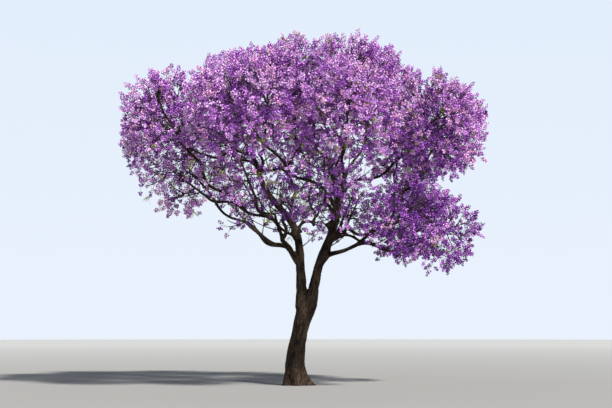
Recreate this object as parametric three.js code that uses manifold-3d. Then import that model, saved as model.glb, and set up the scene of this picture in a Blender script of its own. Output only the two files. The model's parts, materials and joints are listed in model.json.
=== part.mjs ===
// A jacaranda in full bloom: a leaning trunk that forks low, boughs that fan out like an umbrella's
// ribs, and masses of blossom that make a broad dome. Millimetres, +Z up. The origin is the middle of
// the flat cut under the trunk, at ground level, and -Y is the side that faces the viewer.

import * as THREE from "three";
import { mergeVertices } from "three/addons/utils/BufferGeometryUtils.js";
import Module from "manifold-3d";

const wasm = await Module();
wasm.setup();

// Crown
const CROWN_TOP = 9780; // highest tip
const CROWN_WAIST = 6620; // height at which the crown is widest
const CROWN_HALF_WIDTH = 5700;
const CROWN_HALF_DEPTH = 5350;
const CROWN_SHIFT = 180; // the crown's middle lies this far right of the trunk's foot
const TOP_LEAN = 0.11; // rise of the crown's top towards the right
const BACK_LEAN = 0.08; // and towards the back
const WAIST_LEAN = 0.05; // fall of its waist towards the right
const CROWN_SQUARENESS = 2; // 2 is a round dome, more is flatter on top

// Masses of blossom: a dome of them, a ring under its edge that hangs low on the right, and a ring of
// small ones inside the crown
const DOME_RINGS = [
  { count: 1, share: 0 },
  { count: 5, share: 0.52 },
  { count: 9, share: 0.97 },
]; // the share is that of the dome's radius
const DOME_REACH = 1560; // radius of the space that a mass keeps to
const DOME_PHASE = 0.4; // turn of each ring from the one inside it, in radians
const REACH_SPREAD = 0.07;
const WANDER = 170; // how far a mass lies off its regular place
const RIM_COUNT = 9;
const RIM_REACH = 1330;
const RIM_DISTANCE = 3350; // from the crown's middle
const RIM_HEIGHT = 5750;
const LOW_DISTANCE = 3700; // the same two on the right, where the lowest limb reaches out
const LOW_HEIGHT = 4300;
const INNER_COUNT = 5;
const INNER_REACH = 980;
const INNER_DISTANCE = 1900;
const INNER_HEIGHT = 4950;
const INNER_PHASE = 0.55;
const SPACE_MARGIN = 14; // clearance that a mass keeps from the edge of its space
const DOME_BRANCHES = 5;
const RIM_BRANCHES = 5;
const INNER_BRANCHES = 4;

// Trunk
const FORK_HEIGHT = 2270;
const TRUNK_BENDS = [
  [0, 0, 0],
  [-70, 0, 950],
  [150, 0, 1500],
  [350, 0, FORK_HEIGHT],
];
const FOOT_RADIUS = 285;
const WAIST_RADIUS = 228;
const WAIST_HEIGHT = 1400;
const FORK_WIDTH_RADIUS = 300;
const FORK_DEPTH_RADIUS = 200;
const FORK_SPREAD = 1.5; // above 1 keeps the trunk slim for longer below its fork
const FORK_DOME = 230; // height over which the trunk rounds off between its stems
const FORK_CLOSING = 0.9;
const FLARE_REACH = 120;
const FLARE_RIGHT = 190; // one root stands out further, to the right
const FLARE_HEIGHT = 230;
const FLARE_ROOTS = 5;
const FLARE_DEPTH = 0.4; // of the furrows between the roots, as a share of the reach
const FLARE_TURN = 0.6;
const RIGHT_ROOT_NARROWNESS = 7;
const TRUNK_SIDES = 18;
const TRUNK_RINGS = [0, 0.025, 0.07, 0.14, 0.26, 0.42, 0.58, 0.73, 0.86, 0.94, 0.98, 1];

// Limbs
const STEMS = [
  { name: "stem_left", start: [205, 25, 2030], heading: [0.03, 0.07, 1], towards: [-900, 900, 8300] },
  { name: "stem_right", start: [365, -25, 2030], heading: [0.29, -0.09, 1], towards: [1500, -900, 8300] },
];
const TIP_RADIUS = 38; // of a bough where it enters its mass
const PIPE_POWER = 2.15; // a limb's section feeds the limbs beyond it
const TAPER_POWER = 0.85;
const LEAST_TAPER = 1.15; // a bough's base is at least this many times its tip
const SLIMMER = 0.86; // a bough's base against its parent there
const STEM_FLARE = 42; // a stem is this much thicker where it leaves the trunk
const STEM_FLARE_LENGTH = 600;
const LOWEST_BRANCHING = 3000;
const SHORTEST_BOUGH = 500;
const LARGEST_TURN = 1.25; // between a bough and its parent, in radians
const PATH_WEIGHT = 0.65; // how much a long way round counts when a bough looks for its parent
const TURN_WEIGHT = 400; // what a turn of one radian counts, as a length
const CORE_WEIGHT = 2; // what each millimetre through another mass's core counts
const CORE = 0.55; // share of a mass's reach that other limbs keep out of
const ENTRY = 0.62; // share of a mass's reach, short of its centre, at which its bough ends
const ENTRY_RISE = 0.25; // how far a bough turns up as it enters its mass
const HEADING_KEPT = 0.75; // how far a bough sets out along its parent rather than towards its mass
const BOUGH_HOLD = 0.4; // share of its length for which a bough holds the direction that it starts in
const STEM_HOLD = 0.55;
const END_HOLD = 0.3;
const SWAY = 0.055; // how far a limb wanders off its arc, as a share of its length
const MOST_SWAY = 130;
const LIMB_SPACING = 240; // between the middles of two limbs
const LINE_TRIES = 8;
const FREE_RINGS = 3; // a bough needn't keep its distance before this ring
const RING_STEP = 430; // between two rings of a bough
const FEWEST_RINGS = 4;
const MOST_RINGS = 14;
const SIDE_WIDTH = 12; // radius for each side of a limb's section
const FEWEST_SIDES = 6;
const MOST_SIDES = 9;
const GAP = 0.3; // between two pieces that touch

// Twigs and sprays
const STEM_STRAIGHT = 90;
const STEM_OVERRUN = 0.3; // share of its reach that a mass's stem runs past its centre
const STEM_RADII = [0.85, 0.85, 0.74, 0.6, 0.42]; // as shares of the bough's tip
const STEM_SIDES = 4;
const TWIG_SIDES = 3;
const FIRST_BRANCH = 1.6; // places of the first and last branch, in rings of the mass's stem
const LAST_BRANCH = 3.95;
const WIDEST_BRANCH = 1.25; // angles of the first and last branch from the stem, in radians
const STEEPEST_BRANCH = 0.5;
const BRANCH_LIFT = 0.12;
const BRANCH_LENGTH = 1000;
const ROOM_STEP = 60;
const SPRAY_ROOM = 700; // room kept beyond a branch's end for the spray at its tip
const SHORTEST_BRANCH = 120;
const BRANCH_SAG = 0.05;
const BRANCH_RISE = 0.04;
const TWIG_RADIUS = 17;
const TWIG_TAPER = [1, 0.8, 0.55];
const TWIG_CLEARANCE = 30; // between a twig's middle line and a limb's bark
const SPRAY_CLEARANCE = 60; // between a spray's edges and a limb's bark
const SPRAY_LENGTH = 880;
const SPRAY_SPREAD = 0.13;
const SPRAY_RADIUS = 0.25; // as a share of the length
const SPRAY_WAIST = 0.52; // where it is widest, along its length
const SPRAY_SPACING = 330; // between the middle lines of two sprays, away from their roots
const TWIG_SPACING = 130; // between a spray's middle line and the twigs of other branches
const FREE_SHARE = 0.35; // a spray's length up to here needn't keep clear of the rest
const SPRAY_PLACES = [
  { along: 0.98, turn: 0.1 },
  { along: 0.72, turn: 0.9 },
  { along: 0.48, turn: 0.95 },
  { along: 0.24, turn: 1.0 },
];
const SPRAY_LIFT = 0.3;
const SPRAY_TRIES = 4;
const TRY_TURN = 1.9; // how far round its twig a spray is turned for the next try
const TRY_SHRINK = 0.1;
const SMALLEST_SPRAY = 0.75; // in a small mass, as a share of the length

// Seeds of the random streams
const MASS_SEED = 100;
const LIMB_SEED = 500;
const SPRAY_SEED = 900;
const NEXT_TRY = 100;

const FULL_TURN = 2 * Math.PI;
const GOLDEN_ANGLE = Math.PI * (3 - Math.sqrt(5));
const UP = new THREE.Vector3(0, 0, 1);

// Small helpers

// A seeded stream of numbers from 0 to 1 (mulberry32).
function randomStream(seed) {
  let state = seed >>> 0;
  return () => {
    state = (state + 0x6d2b79f5) >>> 0;
    let mixed = Math.imul(state ^ (state >>> 15), 1 | state);
    mixed = (mixed + Math.imul(mixed ^ (mixed >>> 7), 61 | mixed)) ^ mixed;
    return ((mixed ^ (mixed >>> 14)) >>> 0) / 4294967296;
  };
}

function vector(x, y, z) {
  return new THREE.Vector3(x, y, z);
}

function mix(low, high, share) {
  return low + (high - low) * share;
}

function clamp(value, low, high) {
  return Math.min(high, Math.max(low, value));
}

function smallest(list, measure) {
  return list.reduce((best, item) => (measure(item) < measure(best) ? item : best));
}

// A unit vector square to the direction.
function perpendicular(direction) {
  const other = Math.abs(direction.z) < 0.9 ? UP : vector(1, 0, 0);
  return vector().crossVectors(direction, other).normalize();
}

// The direction turned by an angle towards a side that lies at an azimuth round it.
function splay(direction, azimuth, angle) {
  const first = perpendicular(direction);
  const second = vector().crossVectors(direction, first);
  return direction
    .clone()
    .multiplyScalar(Math.cos(angle))
    .addScaledVector(first, Math.sin(angle) * Math.cos(azimuth))
    .addScaledVector(second, Math.sin(angle) * Math.sin(azimuth))
    .normalize();
}

// The shortest distance between two straight segments.
function segmentDistance(a, b, c, d) {
  const first = vector().subVectors(b, a);
  const second = vector().subVectors(d, c);
  const offset = vector().subVectors(a, c);
  const aa = first.lengthSq();
  const bb = second.lengthSq();
  const ab = first.dot(second);
  const ao = first.dot(offset);
  const bo = second.dot(offset);
  const cross = aa * bb - ab * ab;
  let s = cross > 1e-9 ? clamp((ab * bo - ao * bb) / cross, 0, 1) : 0;
  const t = clamp((ab * s + bo) / bb, 0, 1);
  s = clamp((ab * t - ao) / aa, 0, 1);
  return a
    .clone()
    .addScaledVector(first, s)
    .distanceTo(c.clone().addScaledVector(second, t));
}

// Tubes

// The direction of a line of points at each of them.
function tangentsOf(points) {
  return points.map((point, k) => {
    const before = points[Math.max(0, k - 1)];
    const after = points[Math.min(points.length - 1, k + 1)];
    return vector().subVectors(after, before).normalize();
  });
}

// At each point of a line, a sideways direction that turns as little as it can from the one before.
function sidewaysOf(tangents) {
  const sideways = [perpendicular(tangents[0])];
  for (let k = 1; k < tangents.length; k++) {
    const last = sideways[k - 1];
    sideways.push(last.clone().addScaledVector(tangents[k], -last.dot(tangents[k])).normalize());
  }
  return sideways;
}

// A closed cylinder of unit radius whose rings are numbered from 0 up its Y axis. place(ring, x, z)
// says where each of its points goes; x and z are 0 at the middle of an end.
function ringedSolid(sides, rings, place) {
  const shape = new THREE.CylinderGeometry(1, 1, rings, sides, rings);
  shape.deleteAttribute("normal");
  shape.deleteAttribute("uv");
  const position = shape.getAttribute("position");
  for (let v = 0; v < position.count; v++) {
    const ring = Math.round(position.getY(v) + rings / 2);
    const { x, y, z } = place(ring, position.getX(v), position.getZ(v));
    position.setXYZ(v, x, y, z);
  }
  return solidOf(shape);
}

// A round tube along a line of points. grow makes it wider and longer on every side.
function tubeSolid(points, radii, sides, grow = 0) {
  const last = points.length - 1;
  const tangents = tangentsOf(points);
  const sideways = sidewaysOf(tangents);
  const lengthen = (ring) => (ring === last) - (ring === 0);
  return ringedSolid(sides, last, (ring, x, z) => {
    const across = vector().crossVectors(sideways[ring], tangents[ring]);
    return points[ring]
      .clone()
      .addScaledVector(sideways[ring], x * (radii[ring] + grow))
      .addScaledVector(across, z * (radii[ring] + grow))
      .addScaledVector(tangents[ring], grow * lengthen(ring));
  });
}

// Solids for cutting and joining

function solidOf(geometry) {
  const merged = mergeVertices(geometry, 1e-3);
  return new wasm.Manifold(
    new wasm.Mesh({
      numProp: 3,
      vertProperties: new Float32Array(merged.getAttribute("position").array),
      triVerts: new Uint32Array(merged.index.array),
    }),
  );
}

function geometryOf(solid) {
  const mesh = solid.getMesh();
  return new THREE.BufferGeometry()
    .setAttribute("position", new THREE.BufferAttribute(new Float32Array(mesh.vertProperties), 3))
    .setIndex(new THREE.BufferAttribute(new Uint32Array(mesh.triVerts), 1));
}

// The largest body of a solid that a cut may have left in several pieces.
function largestBody(solid) {
  return smallest(solid.decompose(), (body) => -body.volume());
}

// The crown's masses and the space that each keeps to

// The centre of a mass on the crown's dome, from its share of the dome's radius and its azimuth.
function domePlace({ share, azimuth }, reach) {
  const x = Math.cos(azimuth) * share * (CROWN_HALF_WIDTH - reach);
  const y = Math.sin(azimuth) * share * (CROWN_HALF_DEPTH - reach);
  const waist = CROWN_WAIST - WAIST_LEAN * x;
  const top = CROWN_TOP + TOP_LEAN * x + BACK_LEAN * y - reach;
  const swell = (1 - share ** CROWN_SQUARENESS) ** (1 / CROWN_SQUARENESS);
  return vector(CROWN_SHIFT + x, y, mix(waist, top, swell));
}

function ringPlace(azimuth, distance, height) {
  return vector(CROWN_SHIFT + Math.cos(azimuth) * distance, Math.sin(azimuth) * distance, height);
}

// The masses: the dome's rings from its middle out, the rim and the inner ring.
function layOutMasses() {
  const masses = [];
  const add = (reach, branches, placeFor) => {
    const random = randomStream(MASS_SEED + masses.length);
    const own = reach * (1 + REACH_SPREAD * (2 * random() - 1));
    const off = vector(random() - 0.5, random() - 0.5, random() - 0.5).multiplyScalar(2 * WANDER);
    masses.push({ index: masses.length, centre: placeFor(own).add(off), reach: own, branches });
  };
  DOME_RINGS.forEach(({ count, share }, ring) => {
    for (let i = 0; i < count; i++) {
      const azimuth = DOME_PHASE * ring + (i / count) * FULL_TURN;
      add(DOME_REACH, DOME_BRANCHES, (reach) => domePlace({ share, azimuth }, reach));
    }
  });
  for (let i = 0; i < RIM_COUNT; i++) {
    const azimuth = (i / RIM_COUNT) * FULL_TURN;
    const low = Math.max(0, Math.cos(azimuth));
    const distance = mix(RIM_DISTANCE, LOW_DISTANCE, low);
    add(RIM_REACH, RIM_BRANCHES, () => ringPlace(azimuth, distance, mix(RIM_HEIGHT, LOW_HEIGHT, low)));
  }
  for (let i = 0; i < INNER_COUNT; i++) {
    const azimuth = INNER_PHASE + (i / INNER_COUNT) * FULL_TURN;
    add(INNER_REACH, INNER_BRANCHES, () => ringPlace(azimuth, INNER_DISTANCE, INNER_HEIGHT));
  }
  return masses;
}

// How far a point lies inside the space of a mass: its ball, cut by flat walls halfway to the others.
function depthInSpace(mass, point, masses) {
  let depth = mass.reach - point.distanceTo(mass.centre);
  for (const other of masses) {
    const apart = other.centre.distanceTo(mass.centre);
    if (other === mass || apart > mass.reach + other.reach) continue;
    const wall = (apart * apart + mass.reach ** 2 - other.reach ** 2) / (2 * apart);
    const along = vector().subVectors(other.centre, mass.centre).divideScalar(apart);
    depth = Math.min(depth, wall - along.dot(vector().subVectors(point, mass.centre)));
  }
  return depth;
}

// Limbs

// A line of points from start to end that leaves and arrives in the given directions and sways.
function limbLine(start, heading, end, aim, steps, hold, random) {
  const span = start.distanceTo(end);
  const arc = new THREE.CubicBezierCurve3(
    start,
    start.clone().addScaledVector(heading, hold * span),
    end.clone().addScaledVector(aim, -END_HOLD * span),
    end,
  );
  const chord = vector().subVectors(end, start).normalize();
  const phase = random() * FULL_TURN;
  const turns = 1 + random();
  const sway = Math.min(MOST_SWAY, SWAY * span);
  const points = [];
  for (let k = 0; k <= steps; k++) {
    const share = k / steps;
    const swing = splay(chord, phase + FULL_TURN * turns * share, Math.PI / 2);
    points.push(arc.getPoint(share).addScaledVector(swing, sway * Math.sin(Math.PI * share)));
  }
  return points;
}

// The length of the way from the fork to each point of a limb.
function lengthsAlong(points, startLength) {
  const lengths = [startLength];
  for (let k = 1; k < points.length; k++) {
    lengths.push(lengths[k - 1] + points[k].distanceTo(points[k - 1]));
  }
  return lengths;
}

// Where a bough enters the space of its mass, and the direction in which it does so.
function entryOf(mass, from) {
  const outward = vector().subVectors(mass.centre, from).normalize();
  const aim = outward.addScaledVector(UP, ENTRY_RISE).normalize();
  return { point: mass.centre.clone().addScaledVector(aim, -ENTRY * mass.reach), aim };
}

// The least distance between a line, past its first steps, and the limbs and the other masses' cores.
function clearanceOf(points, mass, limbs, masses) {
  let least = Infinity;
  for (let k = FREE_RINGS; k < points.length; k++) {
    for (const limb of limbs) {
      for (let m = 1; m < limb.points.length; m++) {
        const apart = segmentDistance(points[k - 1], points[k], limb.points[m - 1], limb.points[m]);
        least = Math.min(least, apart);
      }
    }
    for (const other of masses) {
      if (other === mass) continue;
      least = Math.min(least, LIMB_SPACING + other.centre.distanceTo(points[k]) - CORE * other.reach);
    }
  }
  return least;
}

// A limb to a mass, on the first line that keeps its distance from the rest, or else the best tried.
function makeLimb(name, parent, startIndex, start, heading, mass, limbs, masses) {
  const entry = entryOf(mass, start);
  const steps = clamp(Math.round(start.distanceTo(entry.point) / RING_STEP), FEWEST_RINGS, MOST_RINGS);
  const hold = parent ? BOUGH_HOLD : STEM_HOLD;
  const tries = [];
  for (let attempt = 0; attempt < LINE_TRIES; attempt++) {
    const random = randomStream(LIMB_SEED + mass.index + NEXT_TRY * attempt);
    const points = limbLine(start, heading, entry.point, entry.aim, steps, hold, random);
    tries.push({ points, clearance: clearanceOf(points, mass, limbs, masses) });
    if (tries[attempt].clearance > LIMB_SPACING) break;
  }
  const { points } = smallest(tries, (line) => -line.clearance);
  const lengths = lengthsAlong(points, parent ? parent.lengths[startIndex] : 0);
  return { name, parent, startIndex, points, lengths, mass, feeds: 1, forks: [] };
}

// The two stems above the fork, each of which runs on to the mass nearest a place.
function makeStems(masses) {
  const stems = [];
  for (const { name, start, heading, towards } of STEMS) {
    const mass = smallest(masses, ({ centre }) => centre.distanceTo(vector(...towards)));
    const along = vector(...heading).normalize();
    stems.push(makeLimb(name, null, 0, vector(...start), along, mass, stems, masses));
  }
  return stems;
}

// How deep a straight way runs into the cores of masses that it isn't for.
function coreCrossing(start, end, mass, masses) {
  const way = new THREE.Line3(start, end);
  let deep = 0;
  for (const other of masses) {
    if (other === mass) continue;
    const nearest = way.closestPointToPoint(other.centre, true, vector());
    deep += Math.max(0, CORE * other.reach - nearest.distanceTo(other.centre));
  }
  return deep;
}

// The cheapest place on the limbs so far from which to reach a mass.
function bestParent(mass, limbs, masses) {
  let best = null;
  for (const limb of limbs) {
    const tangents = tangentsOf(limb.points);
    for (let k = 1; k < limb.points.length - 2; k++) {
      const point = limb.points[k];
      if (point.z < LOWEST_BRANCHING || limb.forks.includes(k)) continue;
      const entry = entryOf(mass, point);
      const way = vector().subVectors(entry.point, point);
      const turn = way.angleTo(tangents[k]);
      if (turn > LARGEST_TURN || way.length() < SHORTEST_BOUGH) continue;
      const round = PATH_WEIGHT * limb.lengths[k] + TURN_WEIGHT * turn;
      const cost = way.length() + round + CORE_WEIGHT * coreCrossing(point, entry.point, mass, masses);
      if (!best || cost < best.cost) best = { cost, mass, limb, k, way, tangent: tangents[k] };
    }
  }
  return best;
}

// The stems, then the boughs, each time the one that is cheapest to add to the limbs so far.
function makeLimbs(masses) {
  const limbs = makeStems(masses);
  const waiting = masses.filter((mass) => !limbs.some((limb) => limb.mass === mass));
  while (waiting.length) {
    const choices = waiting.map((mass) => bestParent(mass, limbs, masses)).filter(Boolean);
    if (!choices.length) throw new Error("no limb can reach the masses that are left");
    const { mass, limb, k, way, tangent } = smallest(choices, (choice) => choice.cost);
    const heading = tangent.clone().multiplyScalar(HEADING_KEPT).add(way.clone().normalize()).normalize();
    const name = "bough_" + String(limbs.length - 1).padStart(2, "0");
    limbs.push(makeLimb(name, limb, k, limb.points[k], heading, mass, limbs, masses));
    limb.forks.push(k);
    waiting.splice(waiting.indexOf(mass), 1);
  }
  for (const limb of limbs) {
    for (let up = limb.parent; up; up = up.parent) up.feeds += 1;
  }
  for (const limb of limbs) setRadii(limb);
  return limbs;
}

// A limb thins from what it feeds to the radius of its tip, and is slimmer than its parent.
function setRadii(limb) {
  const wanted = TIP_RADIUS * limb.feeds ** (1 / PIPE_POWER);
  const allowed = limb.parent ? SLIMMER * limb.parent.radii[limb.startIndex] : Infinity;
  const base = Math.max(LEAST_TAPER * TIP_RADIUS, Math.min(wanted, allowed));
  const last = limb.points.length - 1;
  const flare = limb.parent ? 0 : STEM_FLARE;
  limb.radii = limb.lengths.map((length, k) => {
    const tapered = mix(TIP_RADIUS, base, (1 - k / last) ** TAPER_POWER);
    return tapered + flare * Math.exp(-length / STEM_FLARE_LENGTH);
  });
}

function limbSolid(limb, grow = 0) {
  const sides = clamp(Math.round(limb.radii[0] / SIDE_WIDTH), FEWEST_SIDES, MOST_SIDES);
  return tubeSolid(limb.points, limb.radii, sides, grow);
}

// Trunk

function trunkLine() {
  const arc = new THREE.CubicBezierCurve3(...TRUNK_BENDS.map((bend) => vector(...bend)));
  return TRUNK_RINGS.map((share) => arc.getPoint(share));
}

// The trunk's radius at a height and an angle round it: root flare, slim waist, wide fork, round top.
function trunkRadius(height, angle) {
  const upper = clamp((height - WAIST_HEIGHT) / (FORK_HEIGHT - WAIST_HEIGHT), 0, 1) ** FORK_SPREAD;
  const lower = clamp(1 - height / WAIST_HEIGHT, 0, 1);
  const shaft = mix(WAIST_RADIUS, FOOT_RADIUS, lower);
  const wide = mix(shaft, FORK_WIDTH_RADIUS, upper);
  const deep = mix(shaft, FORK_DEPTH_RADIUS, upper);
  const round = 1 / Math.hypot(Math.cos(angle) / wide, Math.sin(angle) / deep);
  const furrow = 1 - Math.cos(FLARE_ROOTS * angle + FLARE_TURN);
  const roots = FLARE_REACH * (1 - FLARE_DEPTH * furrow);
  const right = FLARE_RIGHT * Math.max(0, Math.cos(angle)) ** RIGHT_ROOT_NARROWNESS;
  const flare = (roots + right) * Math.exp(-height / FLARE_HEIGHT);
  const closing = clamp(1 - (FORK_HEIGHT - height) / FORK_DOME, 0, 1);
  return (round + flare) * Math.sqrt(1 - FORK_CLOSING * closing * closing);
}

function trunkSolid(grow = 0) {
  const line = trunkLine();
  const last = line.length - 1;
  return ringedSolid(TRUNK_SIDES, last, (ring, x, z) => {
    const middle = line[ring];
    const radius = trunkRadius(middle.z, Math.atan2(-z, x)) + grow;
    return vector(middle.x + radius * x, middle.y - radius * z, middle.z + (ring === last ? grow : 0));
  });
}

// Twigs and sprays of a mass

// The line of a mass's stem, from 0.3 mm beyond its bough's tip, through the middle and on outward.
function stemLine({ points, mass }) {
  const last = points.length - 1;
  const heading = vector().subVectors(points[last], points[last - 1]).normalize();
  const start = points[last].clone().addScaledVector(heading, GAP);
  const straight = start.clone().addScaledVector(heading, STEM_STRAIGHT);
  const outward = vector().subVectors(mass.centre, start).normalize();
  const end = mass.centre.clone().addScaledVector(outward, STEM_OVERRUN * mass.reach);
  return [start, straight, straight.clone().lerp(mass.centre, 0.5), mass.centre, end];
}

// The furthest that a straight twig can run from a point before it comes near the edge of its space.
function roomAhead(mass, masses, start, direction) {
  const ahead = start.clone();
  let length = 0;
  while (depthInSpace(mass, ahead.addScaledVector(direction, ROOM_STEP), masses) > SPACE_MARGIN) {
    length += ROOM_STEP;
  }
  return length;
}

// The line of a branch: three points, with a slight sag in the middle and a rise at the end.
function branchLine(start, direction, length) {
  const end = start.clone().addScaledVector(direction, length).addScaledVector(UP, BRANCH_RISE * length);
  const middle = start.clone().lerp(end, 0.5).addScaledVector(UP, -BRANCH_SAG * length);
  return [start, middle, end];
}

// A point on a branch's line, at a share of its length.
function pointOnBranch([start, middle, end], along) {
  return along < 0.5 ? start.clone().lerp(middle, along * 2) : middle.clone().lerp(end, along * 2 - 1);
}

// A spray's root, tip and the three corners round its widest part.
function sprayCorners(root, direction, length, roll) {
  const middle = root.clone().addScaledVector(direction, SPRAY_WAIST * length);
  const waist = [0, 1, 2].map((k) =>
    middle
      .clone()
      .addScaledVector(splay(direction, roll + (k * FULL_TURN) / 3, Math.PI / 2), SPRAY_RADIUS * length),
  );
  return { root, tip: root.clone().addScaledVector(direction, length), waist };
}

// A spray of blossom is three-sided and pointed at both ends.
function spraySolid({ root, tip, waist }) {
  const corners = [root, tip, ...waist].flatMap((corner) => corner.toArray());
  const faces = waist.flatMap((_, k) => {
    const here = 2 + k;
    const next = 2 + ((k + 1) % 3);
    return [0, next, here, 1, here, next];
  });
  const shape = new THREE.BufferGeometry();
  shape.setAttribute("position", new THREE.Float32BufferAttribute(corners, 3));
  return solidOf(shape.setIndex(faces));
}

// Whether a straight piece comes near any limb.
function touchesLimb(a, b, limbs, clearance) {
  return limbs.some(({ points, radii }) =>
    points
      .slice(1)
      .some((point, k) => segmentDistance(a, b, points[k], point) < radii[k] + clearance),
  );
}

function sprayTouchesLimb({ root, tip, waist }, limbs) {
  const edges = [...waist.map((corner) => [root, corner]), ...waist.map((corner) => [corner, tip])];
  return [[root, tip], ...edges].some(([a, b]) => touchesLimb(a, b, limbs, SPRAY_CLEARANCE));
}

// The place on a spray's middle line from which on it has to keep clear of the rest.
function clearFrom({ root, tip }) {
  return root.clone().lerp(tip, FREE_SHARE);
}

// Whether a spray comes near a straight piece, such as a twig or another spray's outer part.
function crowds(spray, a, b, clearance) {
  return segmentDistance(clearFrom(spray), spray.tip, a, b) < clearance;
}

// The branches leave the mass's stem in turn round it, the lower ones more to the side.
function branchLines(line, mass, masses, limbs, random) {
  const tangents = tangentsOf(line);
  const lines = [];
  for (let b = 0; b < mass.branches; b++) {
    const share = b / (mass.branches - 1);
    const along = mix(FIRST_BRANCH, LAST_BRANCH, share);
    const k = Math.floor(along);
    const start = line[k].clone().lerp(line[k + 1], along - k);
    const angle = mix(WIDEST_BRANCH, STEEPEST_BRANCH, share);
    const direction = splay(tangents[k], b * GOLDEN_ANGLE + random(), angle)
      .addScaledVector(UP, BRANCH_LIFT)
      .normalize();
    const room = roomAhead(mass, masses, start, direction) - SPRAY_ROOM;
    const length = Math.min(BRANCH_LENGTH, room);
    if (length < SHORTEST_BRANCH) continue;
    const branch = branchLine(start, direction, length);
    const [, middle, end] = branch;
    if (touchesLimb(start.clone().lerp(middle, 0.5), middle, limbs, TWIG_CLEARANCE)) continue;
    if (touchesLimb(middle, end, limbs, TWIG_CLEARANCE)) continue;
    lines.push(branch);
  }
  return lines;
}

// The sprays that fit on a branch, along it and at its tip.
function spraysOn(branch, others, { mass, masses, limbs, random, sprays }) {
  const [, middle, end] = branch;
  const heading = vector().subVectors(end, middle).normalize();
  const size = SPRAY_LENGTH * clamp(mass.reach / DOME_REACH, SMALLEST_SPRAY, 1);
  const phase = random() * FULL_TURN;
  const fits = (spray) =>
    [spray.tip, ...spray.waist].every((corner) => depthInSpace(mass, corner, masses) > SPACE_MARGIN) &&
    !sprayTouchesLimb(spray, limbs) &&
    !sprays.some((other) => crowds(spray, clearFrom(other), other.tip, SPRAY_SPACING)) &&
    !others.some(([a, b, c]) => crowds(spray, a, b, TWIG_SPACING) || crowds(spray, b, c, TWIG_SPACING));
  for (const [n, { along, turn }] of SPRAY_PLACES.entries()) {
    const root = pointOnBranch(branch, along);
    const own = size * (1 + SPRAY_SPREAD * (2 * random() - 1));
    for (let attempt = 0; attempt < SPRAY_TRIES; attempt++) {
      const azimuth = phase + n * GOLDEN_ANGLE + attempt * TRY_TURN;
      const aim = splay(heading, azimuth, turn).addScaledVector(UP, SPRAY_LIFT).normalize();
      const length = own * (1 - TRY_SHRINK * attempt);
      const spray = sprayCorners(root, aim, length, random() * FULL_TURN);
      if (!fits(spray)) continue;
      sprays.push(spray);
      break;
    }
  }
}

// A mass: its stem, the branches and their sprays, fused.
function massSolid(limb, masses, limbs) {
  const { mass } = limb;
  const random = randomStream(SPRAY_SEED + mass.index);
  const line = stemLine(limb);
  const growth = { mass, masses, limbs, random, sprays: [] };
  const branches = branchLines(line, mass, masses, limbs, random);
  for (const branch of branches) {
    spraysOn(branch, branches.filter((other) => other !== branch), growth);
  }
  const thickness = (shares, radius) => shares.map((share) => share * radius);
  return wasm.Manifold.union([
    tubeSolid(line, thickness(STEM_RADII, TIP_RADIUS), STEM_SIDES),
    ...branches.map((branch) => tubeSolid(branch, thickness(TWIG_TAPER, TWIG_RADIUS), TWIG_SIDES)),
    ...growth.sprays.map(spraySolid),
  ]);
}

// Materials
const BARK = new THREE.MeshStandardMaterial({ color: 0x4a3a30, roughness: 0.92, metalness: 0 });
const BLOSSOM = new THREE.MeshStandardMaterial({ color: 0x9a6cc8, roughness: 0.75, metalness: 0 });

function addPiece(group, name, solid, material) {
  const piece = new THREE.Mesh(geometryOf(solid), material);
  piece.name = name;
  group.add(piece);
}

// The tree: each limb is cut clear of the limbs that stand before it.
function buildTree() {
  const tree = new THREE.Group();
  const masses = layOutMasses();
  const limbs = makeLimbs(masses);
  addPiece(tree, "trunk", trunkSolid(), BARK);
  const standing = [trunkSolid(GAP)];
  for (const limb of limbs) {
    const cut = standing.reduce((rest, other) => rest.subtract(other), limbSolid(limb));
    addPiece(tree, limb.name, largestBody(cut), BARK);
    standing.push(limbSolid(limb, GAP));
  }
  for (const limb of limbs) {
    const number = String(limb.mass.index + 1).padStart(2, "0");
    addPiece(tree, "blossom_" + number, massSolid(limb, masses, limbs), BLOSSOM);
  }
  return tree;
}

export default buildTree();
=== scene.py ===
"""A jacaranda in full bloom: bark, twigs, blossom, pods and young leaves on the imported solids' frame.

Metres, +Z up, with the origin in the middle of the flat cut under the trunk and -Y towards the viewer.
Trunk, stems, boughs and masses of blossom grow by the same seeded rule as the solids, and the rule is
carried on here to finer twigs, panicles and single flowers within the same reach.
"""

import json
import math
from dataclasses import dataclass

import bmesh
import bpy
import numpy as np
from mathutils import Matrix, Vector, noise
from mathutils.kdtree import KDTree

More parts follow.
